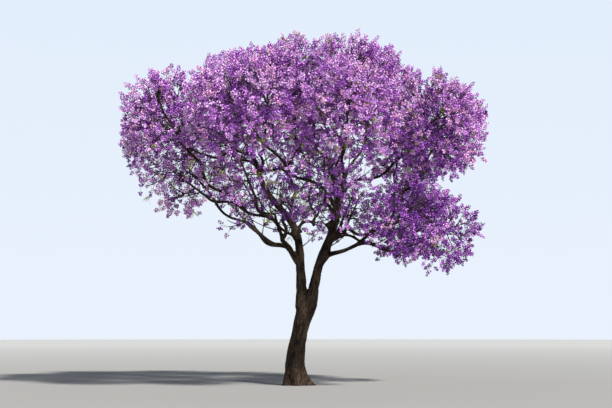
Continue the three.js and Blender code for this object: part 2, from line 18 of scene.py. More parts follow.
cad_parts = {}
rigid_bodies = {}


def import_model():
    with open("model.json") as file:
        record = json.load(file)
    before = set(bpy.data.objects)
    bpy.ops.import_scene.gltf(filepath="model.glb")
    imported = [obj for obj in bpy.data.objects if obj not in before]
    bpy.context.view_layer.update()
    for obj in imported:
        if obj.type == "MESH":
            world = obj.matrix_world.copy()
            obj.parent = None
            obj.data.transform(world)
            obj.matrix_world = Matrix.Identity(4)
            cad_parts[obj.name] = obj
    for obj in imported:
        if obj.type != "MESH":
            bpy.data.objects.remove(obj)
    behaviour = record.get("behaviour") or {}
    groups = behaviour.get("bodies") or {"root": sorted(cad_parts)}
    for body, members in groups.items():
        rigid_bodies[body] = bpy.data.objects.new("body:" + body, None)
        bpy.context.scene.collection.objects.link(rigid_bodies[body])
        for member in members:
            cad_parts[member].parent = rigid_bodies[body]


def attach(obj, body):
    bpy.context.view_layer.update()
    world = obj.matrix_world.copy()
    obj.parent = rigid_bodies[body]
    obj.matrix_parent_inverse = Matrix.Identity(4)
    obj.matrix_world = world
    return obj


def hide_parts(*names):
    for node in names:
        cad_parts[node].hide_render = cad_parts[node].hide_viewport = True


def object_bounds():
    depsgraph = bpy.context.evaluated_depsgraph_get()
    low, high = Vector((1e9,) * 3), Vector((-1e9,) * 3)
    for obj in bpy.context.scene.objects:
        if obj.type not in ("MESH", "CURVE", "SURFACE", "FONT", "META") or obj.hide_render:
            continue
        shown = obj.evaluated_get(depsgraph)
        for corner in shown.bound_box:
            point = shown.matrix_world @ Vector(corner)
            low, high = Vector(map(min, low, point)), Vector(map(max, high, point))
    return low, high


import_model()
cad_low, cad_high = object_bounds()

# Crown
CROWN_TOP = 9.78  # highest tip
CROWN_WAIST = 6.62  # height at which the crown is widest
CROWN_HALF_WIDTH = 5.7
CROWN_HALF_DEPTH = 5.35
CROWN_SHIFT = 0.18  # the crown's middle lies this far right of the trunk's foot
TOP_LEAN = 0.11
BACK_LEAN = 0.08
WAIST_LEAN = 0.05
CROWN_SQUARENESS = 2

# Masses of blossom
DOME_RINGS = [(1, 0), (5, 0.52), (9, 0.97)]  # how many, and their share of the dome's radius
DOME_REACH = 1.56  # radius of the space that a mass keeps to
DOME_PHASE = 0.4
REACH_SPREAD = 0.07
WANDER = 0.17
RIM_COUNT = 9
RIM_REACH = 1.33
RIM_DISTANCE = 3.35
RIM_HEIGHT = 5.75
LOW_DISTANCE = 3.7
LOW_HEIGHT = 4.3
INNER_COUNT = 5
INNER_REACH = 0.98
INNER_DISTANCE = 1.9
INNER_HEIGHT = 4.95
INNER_PHASE = 0.55
SPACE_MARGIN = 0.014
DOME_BRANCHES = 5
RIM_BRANCHES = 5
INNER_BRANCHES = 4

# Trunk
FORK_HEIGHT = 2.27
TRUNK_BENDS = [(0, 0, 0), (-0.07, 0, 0.95), (0.15, 0, 1.5), (0.35, 0, FORK_HEIGHT)]
FOOT_RADIUS = 0.285
WAIST_RADIUS = 0.228
WAIST_HEIGHT = 1.4
FORK_WIDTH_RADIUS = 0.3
FORK_DEPTH_RADIUS = 0.2
FORK_SPREAD = 1.5
FORK_DOME = 0.08  # less than in the solids, so that the trunk meets the stems without a ledge
FORK_CLOSING = 0.9
FLARE_REACH = 0.12
FLARE_RIGHT = 0.19
FLARE_HEIGHT = 0.23
FLARE_ROOTS = 5
FLARE_DEPTH = 0.4
FLARE_TURN = 0.6
RIGHT_ROOT_NARROWNESS = 7

# Limbs
STEMS = [
    ("stem_left", (0.205, 0.025, 2.03), (0.03, 0.07, 1), (-0.9, 0.9, 8.3)),
    ("stem_right", (0.365, -0.025, 2.03), (0.29, -0.09, 1), (1.5, -0.9, 8.3)),
]  # where each starts, its heading, and a place near the mass that it runs on to
TIP_RADIUS = 0.038
PIPE_POWER = 2.15
TAPER_POWER = 0.85
LEAST_TAPER = 1.15
SLIMMER = 0.86
STEM_FLARE = 0.042
STEM_FLARE_LENGTH = 0.6
LOWEST_BRANCHING = 3.0
SHORTEST_BOUGH = 0.5
LARGEST_TURN = 1.25
PATH_WEIGHT = 0.65
TURN_WEIGHT = 0.4
CORE_WEIGHT = 2
CORE = 0.55
ENTRY = 0.62
ENTRY_RISE = 0.25
HEADING_KEPT = 0.75
BOUGH_HOLD = 0.4
STEM_HOLD = 0.55
END_HOLD = 0.3
SWAY = 0.055
MOST_SWAY = 0.13
LIMB_SPACING = 0.24
LINE_TRIES = 8
FREE_RINGS = 3
RING_STEP = 0.43
FEWEST_RINGS = 4
MOST_RINGS = 14
GAP = 0.0003

# Twigs and sprays
STEM_STRAIGHT = 0.09
STEM_OVERRUN = 0.3
STEM_RADII = [0.85, 0.85, 0.74, 0.6, 0.42]
FIRST_BRANCH = 1.6
LAST_BRANCH = 3.95
WIDEST_BRANCH = 1.25
STEEPEST_BRANCH = 0.5
BRANCH_LIFT = 0.12
BRANCH_LENGTH = 1.0
ROOM_STEP = 0.06
SPRAY_ROOM = 0.7
SHORTEST_BRANCH = 0.12
BRANCH_SAG = 0.05
BRANCH_RISE = 0.04
TWIG_RADIUS = 0.017
TWIG_TAPER = [1, 0.8, 0.55]
TWIG_CLEARANCE = 0.03
SPRAY_CLEARANCE = 0.06
SPRAY_LENGTH = 0.88
SPRAY_SPREAD = 0.13
SPRAY_RADIUS = 0.25
SPRAY_WAIST = 0.52
SPRAY_SIDES = 3
SPRAY_SPACING = 0.33
TWIG_SPACING = 0.13
FREE_SHARE = 0.35
SPRAY_PLACES = [(0.98, 0.1), (0.72, 0.9), (0.48, 0.95), (0.24, 1.0)]  # along its branch, and its turn
SPRAY_LIFT = 0.3
SPRAY_TRIES = 4
TRY_TURN = 1.9
TRY_SHRINK = 0.1
SMALLEST_SPRAY = 0.75

# Seeds of the random streams
MASS_SEED = 100
LIMB_SEED = 500
SPRAY_SEED = 900
FILL_SEED = 1300
FINE_SEED = 2100
EDGE_SEED = 2500
INSIDE_SEED = 2900
NEXT_TRY = 100

# Finer growth, which the solids leave to this script
DOME_FILL = 9  # branches that a mass has besides those of the solids
RIM_FILL = 6
INNER_FILL = 2
FILL_PHASE = 1.1
SIDE_PLACES = (0.35, 0.75)  # of the smaller branches along a branch
SIDE_STEP = 4.8  # how far round the branch from one to the next, in radians
SIDE_TURN = 0.9
SIDE_LENGTH = 0.6
FILL_PLACES = [(0.97, 0.15), (0.82, 0.8), (0.66, 0.85), (0.5, 0.9), (0.34, 0.95), (0.18, 1.0)]
EDGE_PLACES = 10  # on the edge of a mass's space, for each branch that this script adds to it
EDGE_INSET = 0.2
EDGE_SPACING = 0.3
EDGE_ANCHORS = (0.3, 0.6, 0.95)
SHORTEST_SPRAY = 0.3
FILL_LENGTH = 0.62
FILL_ROOM = 0.5
FILL_SPACING = 0.2
FILL_TWIG_SPACING = 0.07
BOX_SLACK = 0.05  # how far a spray may stand out of the solids' box
INSIDE_STEP = 0.42  # between the thin branches on a limb
INSIDE_TURNS = (0.7, 1.3)
INSIDE_LENGTHS = (0.4, 0.9)
INSIDE_START = 0.7  # in radii of the limb from its middle
INSIDE_PLACES = [(0.97, 0.15), (0.75, 0.9), (0.5, 0.95)]
INSIDE_SPRAYS = (0.4, 0.65)
LOWEST_INSIDE = 3.4
LEAST_RISE = -0.1  # of a thin branch's direction

# Stems, branches and twigs
STEM_STEPS = 12
STEM_SIDES = 7
BRANCH_STEPS = 5
BRANCH_SIDES = 5
TWIG_STEPS = 3
TWIG_SIDES = 3
TWIG_SAG = 0.015
TWIG_BEND = 0.012
SPRAY_TWIG_RADII = np.array([0.009, 0.007, 0.0055, 0.004])

# Panicles
PANICLE_SPACING = 0.105  # along a spray's twig
PANICLE_LENGTH = 0.26
PANICLE_SPREAD = 0.15
PANICLE_SIZES = (1.1, 0.8)  # at the root and at the end of a spray's twig
PANICLE_SHIFTS = (0.2, 0.8)  # off the regular places
PANICLE_TURNS = (0.95, 0.6)  # from the spray's twig, at its root and at its end
PANICLE_LIFT = 0.1
PANICLE_WANDER = 0.22
LAST_PANICLE = 0.97
BARE_SHARE = 0.2  # of a spray's twig, at its root
STALK_SHARE = 0.95  # of a panicle's length
STALK_RADII = (0.0045, 0.003)

# Where the crown flowers, from its light
SHELL_DEPTHS = (1.35, 2.55)  # below the crown's top, where the part that flowers most ends
CORE_EDGE = (0.45, 0.7)  # of a mass's reach, where its core ends
RIGHT_EDGE = (1.8, 3.2)
LEAST_BLOOM = 0.2  # share of the panicles that are there in the dimmest part of the crown
CORE_BLOOM = 0.3  # and in the middle of a mass
RIGHT_BLOOM = 0.8

# Flowers
PANICLE_FLOWERS = 11
BARE_STALK = 0.38  # of a panicle
FLOWER_SHIFT = 0.03
FLOWER_LENGTH = 0.062
FLOWER_SIZES = (1.1, 0.7)  # at the foot and at the end of a panicle
FLOWER_STALKS = (0.0264, 0.011)
FLOWER_TURNS = (1.2, 0.6)
FLOWER_DROOP = 0.2
FLOWER_MOUTH = 0.42  # radius, as a share of the length
FLOWER_SIDES = 5
FLOWER_SPREAD = 0.2
PETAL_SPREAD = 0.15

# Leaves and pods
LEAFY_SHARE = 0.08
TUFT_PLACES = (0.3, 0.8)  # along the spray
LEAVES_IN_TUFT = 4
LEAF_TURNS = (0.5, 1.1)
LEAF_LENGTH = 0.2
LEAF_SIZES = (0.75, 1.15)
LEAF_DROOP = 0.25
LEAF_ARCH = 0.06
LEAF_PAIRS = 6
RIB_RADII = (0.0022, 0.0016, 0.001)
LEAFLET_LENGTH = 0.06
LEAFLET_SWELL = (0.3, 0.9)  # part of a sine's hump that their lengths follow
LEAFLET_LEAN = 0.55
LEAFLET_DROOP = 0.12
LEAFLET_ARCH = 0.1
LEAFLET_WIDTH = 0.2
POD_SHARE = 0.1
POD_PLACES = (0.15, 0.4)
POD_SWING = 0.25
POD_STALKS = (0.05, 0.1)
POD_STALK_RADIUS = 0.0025
POD_SIDES = 9
POD_RADIUS = 0.032
POD_SIZES = (0.8, 1.15)
POD_THICKNESS = 0.007

# Bark
BARK_STEP = 0.04
FEWEST_STEPS = 8
BARK_SIDES = 20
TRUNK_STEPS = 60
TRUNK_SIDES = 72
FOOT_DEPTH = 0.1  # of what is cut off at the ground
COLLAR = 0.3  # how much thicker a bough is where it leaves its parent
COLLAR_LENGTH = 0.12
STEM_SWELL = 0.24  # of a stem where it comes out of the trunk
STEM_SWELL_AT = 0.22
BARK_VOXEL = 0.0205
BARK_SMOOTHING = 3
BARK_SMOOTHNESS = 0.5
NEAR_SAMPLES = 4
RELIEF_RADIUS = 0.16  # from this radius on the relief is at its full depth
RELIEF_LEAST = 0.25
FISSURES = (11, 7, 0.2)  # how many in a metre across, their stretch and their width
FISSURE_DEPTH = 0.017
FISSURE_WANDER = 0.05
CRACKS = (24, 2.5, 0.16)
CRACK_DEPTH = 0.006
# how much painted shade the fine crack lines give, beside the wide fissures
CRACK_SHADE = 0.6
LUMPS = 5  # in a metre across
LUMP_STRETCH = 2
LUMP_SHIFT = 9
LUMP_HEIGHT = 0.016

# Colours and surfaces
WHITE = (1, 1, 1)
BLACK = (0, 0, 0)
BARK_DARK = (0.02, 0.0125, 0.0085)
BARK_PALE = (0.075, 0.049, 0.032)
# painted shade, darkest in the fissures and in fine crack lines
BARK_PAINTED_SHADE = (0.003, 0.002, 0.0015)
BARK_SURFACE = (0.9, 0.15)  # roughness and shine
BARK_BUMP = (0.9, 0.02)  # strength and height
PATCHES = (3.2, 4, (1, 1, 0.5))  # of the bark: how fine, in how much detail and how stretched
PATCH_STOPS = (0.34, 0.66)
GRAIN = (45, 6, (1, 1, 0.3))
# where the painted shade along the fine grain is full, and where it ends
GRAIN_SHADE_STOPS = (0.36, 0.5)
SPECKLED = {
    "twig_bark": ((0.012, 0.008, 0.006), (0.032, 0.022, 0.016), 14, 0.85, 0.5),
    "pod_husk": ((0.035, 0.02, 0.012), (0.08, 0.05, 0.03), 30, 0.7, 0.5),
    "young_leaf": ((0.2, 0.28, 0.03), (0.46, 0.47, 0.06), 8, 0.55, 0.5),
}  # two close colours, how fine the speckles are, roughness and shine
PETALS = (9, 0.6, 0.2)  # the same three for all tints of blossom
SPECKLE_DETAIL = 2
SPECKLE_STOPS = (0.35, 0.65)
TINTS = [
    ("pale", (0.67, 0.39, 0.77), (0.8, 0.53, 0.87), 0.22),
    ("rosy", (0.68, 0.34, 0.64), (0.78, 0.46, 0.74), 0.12),
    ("lavender", (0.54, 0.23, 0.65), (0.64, 0.31, 0.75), 0.26),
    ("purple", (0.38, 0.12, 0.53), (0.47, 0.17, 0.62), 0.22),
    ("violet", (0.19, 0.04, 0.33), (0.27, 0.08, 0.42), 0.18),
]  # name, two close colours and how common it is, from the brightest to the darkest
STRAY_SHARE = 0.5  # of the panicles that don't have their spray's tint
SHADE_SHIFT = 0.45  # how far the shade moves a draw towards the dark tints
SHADE_MIDDLE = 0.35
LEFT_LIGHT = 0.8  # how light the low left edge of the crown is against its top
LEFT_EDGE = (-0.8, -2.8)

# Stage
FLOOR_RADIUS = 120
FLOOR_SIDES = 96
FLOOR_SURFACE = (0.9, 0.5)
FLOOR_DROP = 0.002
SKY_BANDS = [
    (0.0, (0.82, 0.89, 0.98)),
    (0.3, (0.76, 0.85, 0.97)),
    (0.42, (0.1, 0.13, 0.18)),
]  # how steep one looks, and the colour there
SUN_FROM = (0.5, -0.6, 0.75)
SUN_STRENGTH = 8.5
SUN_ANGLE = 0.1
SUN_COLOUR = (1.0, 0.96, 0.88)
FLOOR_COLOURS = [(0.05, (0.22, 0.22, 0.22)), (0.6, (0.33, 0.34, 0.35))]  # near the tree and far away
CAMERA_PLACE = (0, -33, 1.6)
CAMERA_AIM = (0.3, 0, 5.0)
CAMERA_LENS = 70
FARTHEST_VIEW = 400

TAU = 2 * math.pi
GOLDEN_ANGLE = math.pi * (3 - math.sqrt(5))
UP = np.array([0.0, 0.0, 1.0])
ACROSS = np.array([1.0, 0.0, 0.0])
NEARLY_UPRIGHT = 0.9
NEARLY_PARALLEL = 1e-18
WORD = 0xFFFFFFFF


# Small helpers


def random_stream(seed):
    """A seeded stream of numbers from 0 to 1 (mulberry32)."""
    state = seed

    def draw():
        nonlocal state
        state = (state + 0x6D2B79F5) & WORD
        mixed = ((state ^ (state >> 15)) * (1 | state)) & WORD
        mixed = ((mixed + (mixed ^ (mixed >> 7)) * (61 | mixed)) ^ mixed) & WORD
        return (mixed ^ (mixed >> 14)) / (WORD + 1)

    return draw


def mix(low, high, share):
    return low + (high - low) * share


def rise(values, start, end):
    """How far values have come on the way from start to end, from 0 to 1."""
    return np.clip((values - start) / (end - start), 0, 1)


def norms(vectors):
    return np.linalg.norm(vectors, axis=-1)


def unit(vectors):
    return vectors / norms(vectors)[..., None]


def angles_round(count):
    return TAU * np.arange(count) / count


def perpendicular(directions):
    """A unit vector square to each direction."""
    steep = np.abs(directions[..., 2:]) >= NEARLY_UPRIGHT
    return unit(np.cross(directions, np.where(steep, ACROSS, UP)))


def splay(directions, azimuths, angles):
    """Each direction turned by an angle towards a side that lies at an azimuth round it."""
    azimuths, angles = np.asarray(azimuths)[..., None], np.asarray(angles)[..., None]
    first = perpendicular(directions)
    second = np.cross(directions, first)
    side = np.cos(azimuths) * first + np.sin(azimuths) * second
    return unit(np.cos(angles) * directions + np.sin(angles) * side)


def segment_distances(a, b, starts, ends):
    """The shortest distances between one straight segment and each of several others."""
    first, second, offset = b - a, ends - starts, a - starts
    aa = first @ first
    bb = (second * second).sum(1)
    ab = second @ first
    ao = offset @ first
    bo = (second * offset).sum(1)
    cross = aa * bb - ab * ab
    square = cross > NEARLY_PARALLEL
    s = np.where(square, np.clip((ab * bo - ao * bb) / np.where(square, cross, 1), 0, 1), 0)
    t = np.clip((ab * s + bo) / bb, 0, 1)
    s = np.clip((ab * t - ao) / aa, 0, 1)
    return norms(a + s[:, None] * first - starts - t[:, None] * second)


# The crown's masses and the space that each keeps to


@dataclass(eq=False)
class Mass:
    index: int
    centre: np.ndarray
    reach: float
    branches: int
    fill: int
    wall_normals: np.ndarray = None
    wall_depths: np.ndarray = None


def dome_height(x, y, swell, inset):
    """The dome's height at a place, between its leaning waist and its leaning top."""
    waist = CROWN_WAIST - WAIST_LEAN * x
    top = CROWN_TOP + TOP_LEAN * x + BACK_LEAN * y - inset
    return mix(waist, top, swell)


def dome_place(share, azimuth, reach):
    x = math.cos(azimuth) * share * (CROWN_HALF_WIDTH - reach)
    y = math.sin(azimuth) * share * (CROWN_HALF_DEPTH - reach)
    swell = (1 - share**CROWN_SQUARENESS) ** (1 / CROWN_SQUARENESS)
    return np.array([CROWN_SHIFT + x, y, dome_height(x, y, swell, reach)])


def ring_place(azimuth, distance, height):
    return np.array([CROWN_SHIFT + math.cos(azimuth) * distance, math.sin(azimuth) * distance, height])


def lay_out_masses():
    """The masses: the dome's rings from its middle out, the rim and the inner ring."""
    masses = []

    def add(reach, branches, fill, place_for):
        random = random_stream(MASS_SEED + len(masses))
        own = reach * (1 + REACH_SPREAD * (2 * random() - 1))
        off = np.array([random() - 0.5, random() - 0.5, random() - 0.5]) * 2 * WANDER
        masses.append(Mass(len(masses), place_for(own) + off, own, branches, fill))

    for ring, (count, share) in enumerate(DOME_RINGS):
        for i in range(count):
            azimuth = DOME_PHASE * ring + i / count * TAU
            add(DOME_REACH, DOME_BRANCHES, DOME_FILL, lambda reach: dome_place(share, azimuth, reach))
    for i in range(RIM_COUNT):
        azimuth = i / RIM_COUNT * TAU
        low = max(0, math.cos(azimuth))
        place = ring_place(azimuth, mix(RIM_DISTANCE, LOW_DISTANCE, low), mix(RIM_HEIGHT, LOW_HEIGHT, low))
        add(RIM_REACH, RIM_BRANCHES, RIM_FILL, lambda reach: place)
    for i in range(INNER_COUNT):
        place = ring_place(INNER_PHASE + i / INNER_COUNT * TAU, INNER_DISTANCE, INNER_HEIGHT)
        add(INNER_REACH, INNER_BRANCHES, INNER_FILL, lambda reach: place)
    for mass in masses:
        set_walls(mass, masses)
    return masses


def set_walls(mass, masses):
    """The flat walls halfway to the other masses, which cut the ball that a mass keeps to."""
    normals, depths = [], []
    for other in masses:
        apart = norms(other.centre - mass.centre)
        if other is mass or apart > mass.reach + other.reach:
            continue
        normals.append((other.centre - mass.centre) / apart)
        depths.append((apart**2 + mass.reach**2 - other.reach**2) / (2 * apart))
    mass.wall_normals, mass.wall_depths = np.array(normals), np.array(depths)


def depths_in_space(mass, points):
    """How far points lie inside the space of a mass."""
    offsets = points - mass.centre
    walls = mass.wall_depths - offsets @ mass.wall_normals.T
    return np.minimum(mass.reach - norms(offsets), walls.min(axis=1))


# Limbs


@dataclass(eq=False)
class Limb:
    name: str
    parent: "Limb"
    start_index: int
    curve: object
    points: np.ndarray
    lengths: np.ndarray
    mass: Mass
    feeds: int = 1
    base: float = 0.0

    def radius_of_parent(self):
        """The radius of the limb's parent where the limb leaves it."""
        share = self.start_index / (len(self.parent.points) - 1)
        return float(self.parent.radii(np.array(share)))

    def radii(self, shares):
        """The limb's radii at shares of its way."""
        tapered = mix(TIP_RADIUS, self.base, (1 - shares) ** TAPER_POWER)
        if self.parent:
            return tapered
        lengths = np.interp(shares, np.linspace(0, 1, len(self.lengths)), self.lengths)
        return tapered + STEM_FLARE * np.exp(-lengths / STEM_FLARE_LENGTH)


def bezier(corners, shares):
    """Points on a cubic curve."""
    t = shares[:, None]
    a, b, c, d = corners
    return (1 - t) ** 3 * a + 3 * (1 - t) ** 2 * t * b + 3 * (1 - t) * t**2 * c + t**3 * d


def limb_curve(start, heading, end, aim, hold, random):
    """The line of a limb that leaves and arrives in the given directions and sways, as steps -> points."""
    span = norms(end - start)
    corners = start, start + hold * span * heading, end - END_HOLD * span * aim, end
    chord = unit(end - start)
    phase = random() * TAU
    turns = 1 + random()
    sway = min(MOST_SWAY, SWAY * span)

    def curve(steps):
        shares = np.linspace(0, 1, steps + 1)
        swing = splay(chord, phase + TAU * turns * shares, TAU / 4)
        return bezier(corners, shares) + swing * (sway * np.sin(math.pi * shares))[:, None]

    return curve


def lengths_along(points, start_length):
    return start_length + np.concatenate([[0], np.cumsum(norms(np.diff(points, axis=0)))])


def entry_of(mass, starts):
    """Where boughs from the starts enter the space of their mass, and the directions in which they do."""
    aims = unit(unit(mass.centre - starts) + ENTRY_RISE * UP)
    return mass.centre - ENTRY * mass.reach * aims, aims


def cores_of_others(mass, masses):
    """The middles and radii of the cores of the other masses."""
    others = [other for other in masses if other is not mass]
    return np.array([other.centre for other in others]), CORE * np.array([other.reach for other in others])


def clearance_of(points, mass, limbs, masses):
    """The least distance between a line, past its first steps, and the limbs and other masses' cores."""
    centres, cores = cores_of_others(mass, masses)
    least = math.inf
    for a, b in zip(points[FREE_RINGS - 1 :], points[FREE_RINGS:]):
        for limb in limbs:
            least = min(least, segment_distances(a, b, limb.points[:-1], limb.points[1:]).min())
        least = min(least, LIMB_SPACING + (norms(centres - b) - cores).min())
    return least


def make_limb(name, parent, start_index, start, heading, mass, limbs, masses):
    """A limb to a mass, on the first line that keeps its distance from the rest, or else the best."""
    end, aim = entry_of(mass, start)
    steps = int(np.clip(round(norms(end - start) / RING_STEP), FEWEST_RINGS, MOST_RINGS))
    hold = BOUGH_HOLD if parent else STEM_HOLD
    best = None
    for attempt in range(LINE_TRIES):
        random = random_stream(LIMB_SEED + mass.index + NEXT_TRY * attempt)
        curve = limb_curve(start, heading, end, aim, hold, random)
        clearance = clearance_of(curve(steps), mass, limbs, masses)
        if best is None or clearance > best[0]:
            best = clearance, curve
        if clearance > LIMB_SPACING:
            break
    points = best[1](steps)
    lengths = lengths_along(points, parent.lengths[start_index] if parent else 0)
    return Limb(name, parent, start_index, best[1], points, lengths, mass)


def make_stems(masses):
    stems = []
    for name, start, heading, towards in STEMS:
        mass = min(masses, key=lambda other: norms(other.centre - towards))
        stems.append(make_limb(name, None, 0, np.array(start), unit(np.array(heading)), mass, stems, masses))
    return stems


def tangents_of(points):
    steps = np.diff(points, axis=0)
    return unit(np.concatenate([steps[:1], steps[1:] + steps[:-1], steps[-1:]]))


def core_crossings(starts, ways, mass, masses):
    """How deep straight ways run into the cores of masses that they aren't for."""
    centres, cores = cores_of_others(mass, masses)
    offsets = centres[None] - starts[:, None]
    shares = np.einsum("pmx,px->pm", offsets, ways) / (ways * ways).sum(1)[:, None]
    nearest = np.clip(shares, 0, 1)[..., None] * ways[:, None]
    return np.maximum(0, cores - norms(offsets - nearest)).sum(1)


def costs_from(limb, mass, masses):
    """What it costs to reach a mass from each point of a limb, its ends left out."""
    points = limb.points[1:-2]
    if not len(points):
        return np.array([])
    entries, _ = entry_of(mass, points)
    ways = entries - points
    spans = norms(ways)
    along = (unit(ways) * tangents_of(limb.points)[1:-2]).sum(1)
    turns = np.arccos(np.clip(along, -1, 1))
    costs = spans + PATH_WEIGHT * limb.lengths[1:-2] + TURN_WEIGHT * turns
    costs = costs + CORE_WEIGHT * core_crossings(points, ways, mass, masses)
    barred = (points[:, 2] < LOWEST_BRANCHING) | (turns > LARGEST_TURN) | (spans < SHORTEST_BOUGH)
    return np.where(barred, math.inf, costs)


def make_limbs(masses):
    """The stems, then the boughs, each time the one that is cheapest to add to the limbs so far."""
    limbs = make_stems(masses)
    waiting = [mass for mass in masses if all(limb.mass is not mass for limb in limbs)]
    costs = {(limb, mass): costs_from(limb, mass, masses) for limb in limbs for mass in waiting}
    while waiting:
        limb, mass = min(costs, key=lambda pair: costs[pair].min(initial=math.inf))
        k = 1 + int(costs[limb, mass].argmin())
        start = limb.points[k]
        way = entry_of(mass, start)[0] - start
        heading = unit(HEADING_KEPT * tangents_of(limb.points)[k] + unit(way))
        bough = make_limb(f"bough_{len(limbs) - 1:02d}", limb, k, start, heading, mass, limbs, masses)
        limbs.append(bough)
        waiting.remove(mass)
        costs = {pair: own for pair, own in costs.items() if pair[1] is not mass}
        for other in waiting:
            costs[limb, other][k - 1] = math.inf
            costs[bough, other] = costs_from(bough, other, masses)
    for limb in limbs:
        up = limb.parent
        while up:
            up.feeds += 1
            up = up.parent
    for limb in limbs:
        set_base(limb)
    return limbs


def set_base(limb):
    """A limb's base feeds the limbs beyond it, and is slimmer than its parent there."""
    wanted = TIP_RADIUS * limb.feeds ** (1 / PIPE_POWER)
    if limb.parent:
        wanted = min(wanted, SLIMMER * limb.radius_of_parent())
    limb.base = max(LEAST_TAPER * TIP_RADIUS, wanted)


# Trunk


def trunk_radii(heights, angles):
    """The trunk's radii: root flare, slim waist, wide fork and round top."""
    upper = rise(heights, WAIST_HEIGHT, FORK_HEIGHT) ** FORK_SPREAD
    lower = np.clip(1 - heights / WAIST_HEIGHT, 0, 1)
    shaft = mix(WAIST_RADIUS, FOOT_RADIUS, lower)
    wide = mix(shaft, FORK_WIDTH_RADIUS, upper)
    deep = mix(shaft, FORK_DEPTH_RADIUS, upper)
    round_part = 1 / np.hypot(np.cos(angles) / wide, np.sin(angles) / deep)
    furrow = 1 - np.cos(FLARE_ROOTS * angles + FLARE_TURN)
    roots = FLARE_REACH * (1 - FLARE_DEPTH * furrow)
    right = FLARE_RIGHT * np.maximum(0, np.cos(angles)) ** RIGHT_ROOT_NARROWNESS
    flare = (roots + right) * np.exp(-heights / FLARE_HEIGHT)
    closing = rise(heights, FORK_HEIGHT - FORK_DOME, FORK_HEIGHT)
    return (round_part + flare) * np.sqrt(1 - FORK_CLOSING * closing * closing)


# Twigs and sprays of a mass


@dataclass(eq=False)
class Spray:
    root: np.ndarray
    aim: np.ndarray
    length: float
    waist: np.ndarray

    @property
    def tip(self):
        return self.root + self.length * self.aim

    @property
    def clear_from(self):
        """The place on the middle line from which on the spray has to keep clear of the rest."""
        return mix(self.root, self.tip, FREE_SHARE)


@dataclass(eq=False)
class Habit:
    """How sprays stand on a branch. The places are shares along it, each with the turn there."""

    places: list
    length: float
    spacing: float
    twig_spacing: float
    room: float
    phase: float


SOLID_HABIT = Habit(SPRAY_PLACES, SPRAY_LENGTH, SPRAY_SPACING, TWIG_SPACING, SPRAY_ROOM, 0)
FILL_HABIT = Habit(FILL_PLACES, FILL_LENGTH, FILL_SPACING, FILL_TWIG_SPACING, FILL_ROOM, FILL_PHASE)


@dataclass(eq=False)
class Wood:
    """The straight pieces of all limbs, for keeping clear of them."""

    starts: np.ndarray
    ends: np.ndarray
    radii: np.ndarray

    def touches(self, a, b, clearance):
        return bool((segment_distances(a, b, self.starts, self.ends) < self.radii + clearance).any())


def wood_of(limbs):
    pieces = []
    for limb in limbs:
        shares = np.linspace(0, 1, len(limb.points))[:-1]
        pieces.append((limb.points[:-1], limb.points[1:], limb.radii(shares)))
    return Wood(*(np.concatenate(parts) for parts in zip(*pieces)))


def stem_line(limb):
    """The line of a mass's stem, from its bough's tip, through the middle and on outward."""
    mass = limb.mass
    heading = unit(limb.points[-1] - limb.points[-2])
    start = limb.points[-1] + GAP * heading
    straight = start + STEM_STRAIGHT * heading
    end = mass.centre + STEM_OVERRUN * mass.reach * unit(mass.centre - start)
    return np.array([start, straight, mix(straight, mass.centre, 0.5), mass.centre, end])


def room_ahead(mass, start, direction):
    """The furthest that a straight twig can run before it comes near the edge of its space."""
    lengths = ROOM_STEP * np.arange(1, int(2 * mass.reach / ROOM_STEP) + 2)
    outside = depths_in_space(mass, start + lengths[:, None] * direction) <= SPACE_MARGIN
    return ROOM_STEP * int(outside.argmax())


def branch_line(start, direction, length):
    end = start + length * direction + BRANCH_RISE * length * UP
    middle = mix(start, end, 0.5) - BRANCH_SAG * length * UP
    return np.array([start, middle, end])


def point_on_branch(branch, along):
    start, middle, end = branch
    return mix(start, middle, along * 2) if along < 0.5 else mix(middle, end, along * 2 - 1)


def fitting_branch(mass, start, side, longest, room, wood):
    """A branch as long as there is room for, or none where it would be too short or meet a limb."""
    direction = unit(side + BRANCH_LIFT * UP)
    length = min(longest, room_ahead(mass, start, direction) - room)
    if length < SHORTEST_BRANCH:
        return []
    line = branch_line(start, direction, length)
    corners = mix(start, line[1], 0.5), line[1], line[2]
    meets = any(wood.touches(a, b, TWIG_CLEARANCE) for a, b in zip(corners, corners[1:]))
    return [] if meets else [line]


def branch_lines(line, mass, count, habit, wood, random):
    """The branches leave the mass's stem in turn round it, the lower ones more to the side."""
    tangents = tangents_of(line)
    lines = []
    for b in range(count):
        share = b / (count - 1)
        along = mix(FIRST_BRANCH, LAST_BRANCH, share)
        k = int(along)
        start = mix(line[k], line[k + 1], along - k)
        azimuth = b * GOLDEN_ANGLE + habit.phase + random()
        side = splay(tangents[k], azimuth, mix(WIDEST_BRANCH, STEEPEST_BRANCH, share))
        lines += fitting_branch(mass, start, side, BRANCH_LENGTH, habit.room, wood)
    return lines


def side_branches(branches, mass, habit, wood, random):
    """Smaller branches that leave the branches in turn round them."""
    lines = []
    for n, branch in enumerate(branches):
        heading = unit(branch[2] - branch[0])
        for m, along in enumerate(SIDE_PLACES):
            side = splay(heading, n + m * SIDE_STEP + random(), SIDE_TURN)
            start = point_on_branch(branch, along)
            lines += fitting_branch(mass, start, side, SIDE_LENGTH, habit.room, wood)
    return lines


def make_spray(root, aim, length, roll):
    middle = root + SPRAY_WAIST * length * aim
    turns = roll + angles_round(SPRAY_SIDES)
    waist = middle + SPRAY_RADIUS * length * splay(aim, turns, TAU / 4)
    return Spray(root, aim, length, waist)


def spray_touches_wood(spray, wood):
    edges = [(spray.root, spray.tip)]
    edges += [(spray.root, corner) for corner in spray.waist]
    edges += [(corner, spray.tip) for corner in spray.waist]
    return any(wood.touches(a, b, SPRAY_CLEARANCE) for a, b in edges)


def in_box(places):
    """Whether places lie in the solids' box, or nearly."""
    low, high = np.array(cad_low) - BOX_SLACK, np.array(cad_high) + BOX_SLACK
    return bool((places >= low).all() and (places <= high).all())


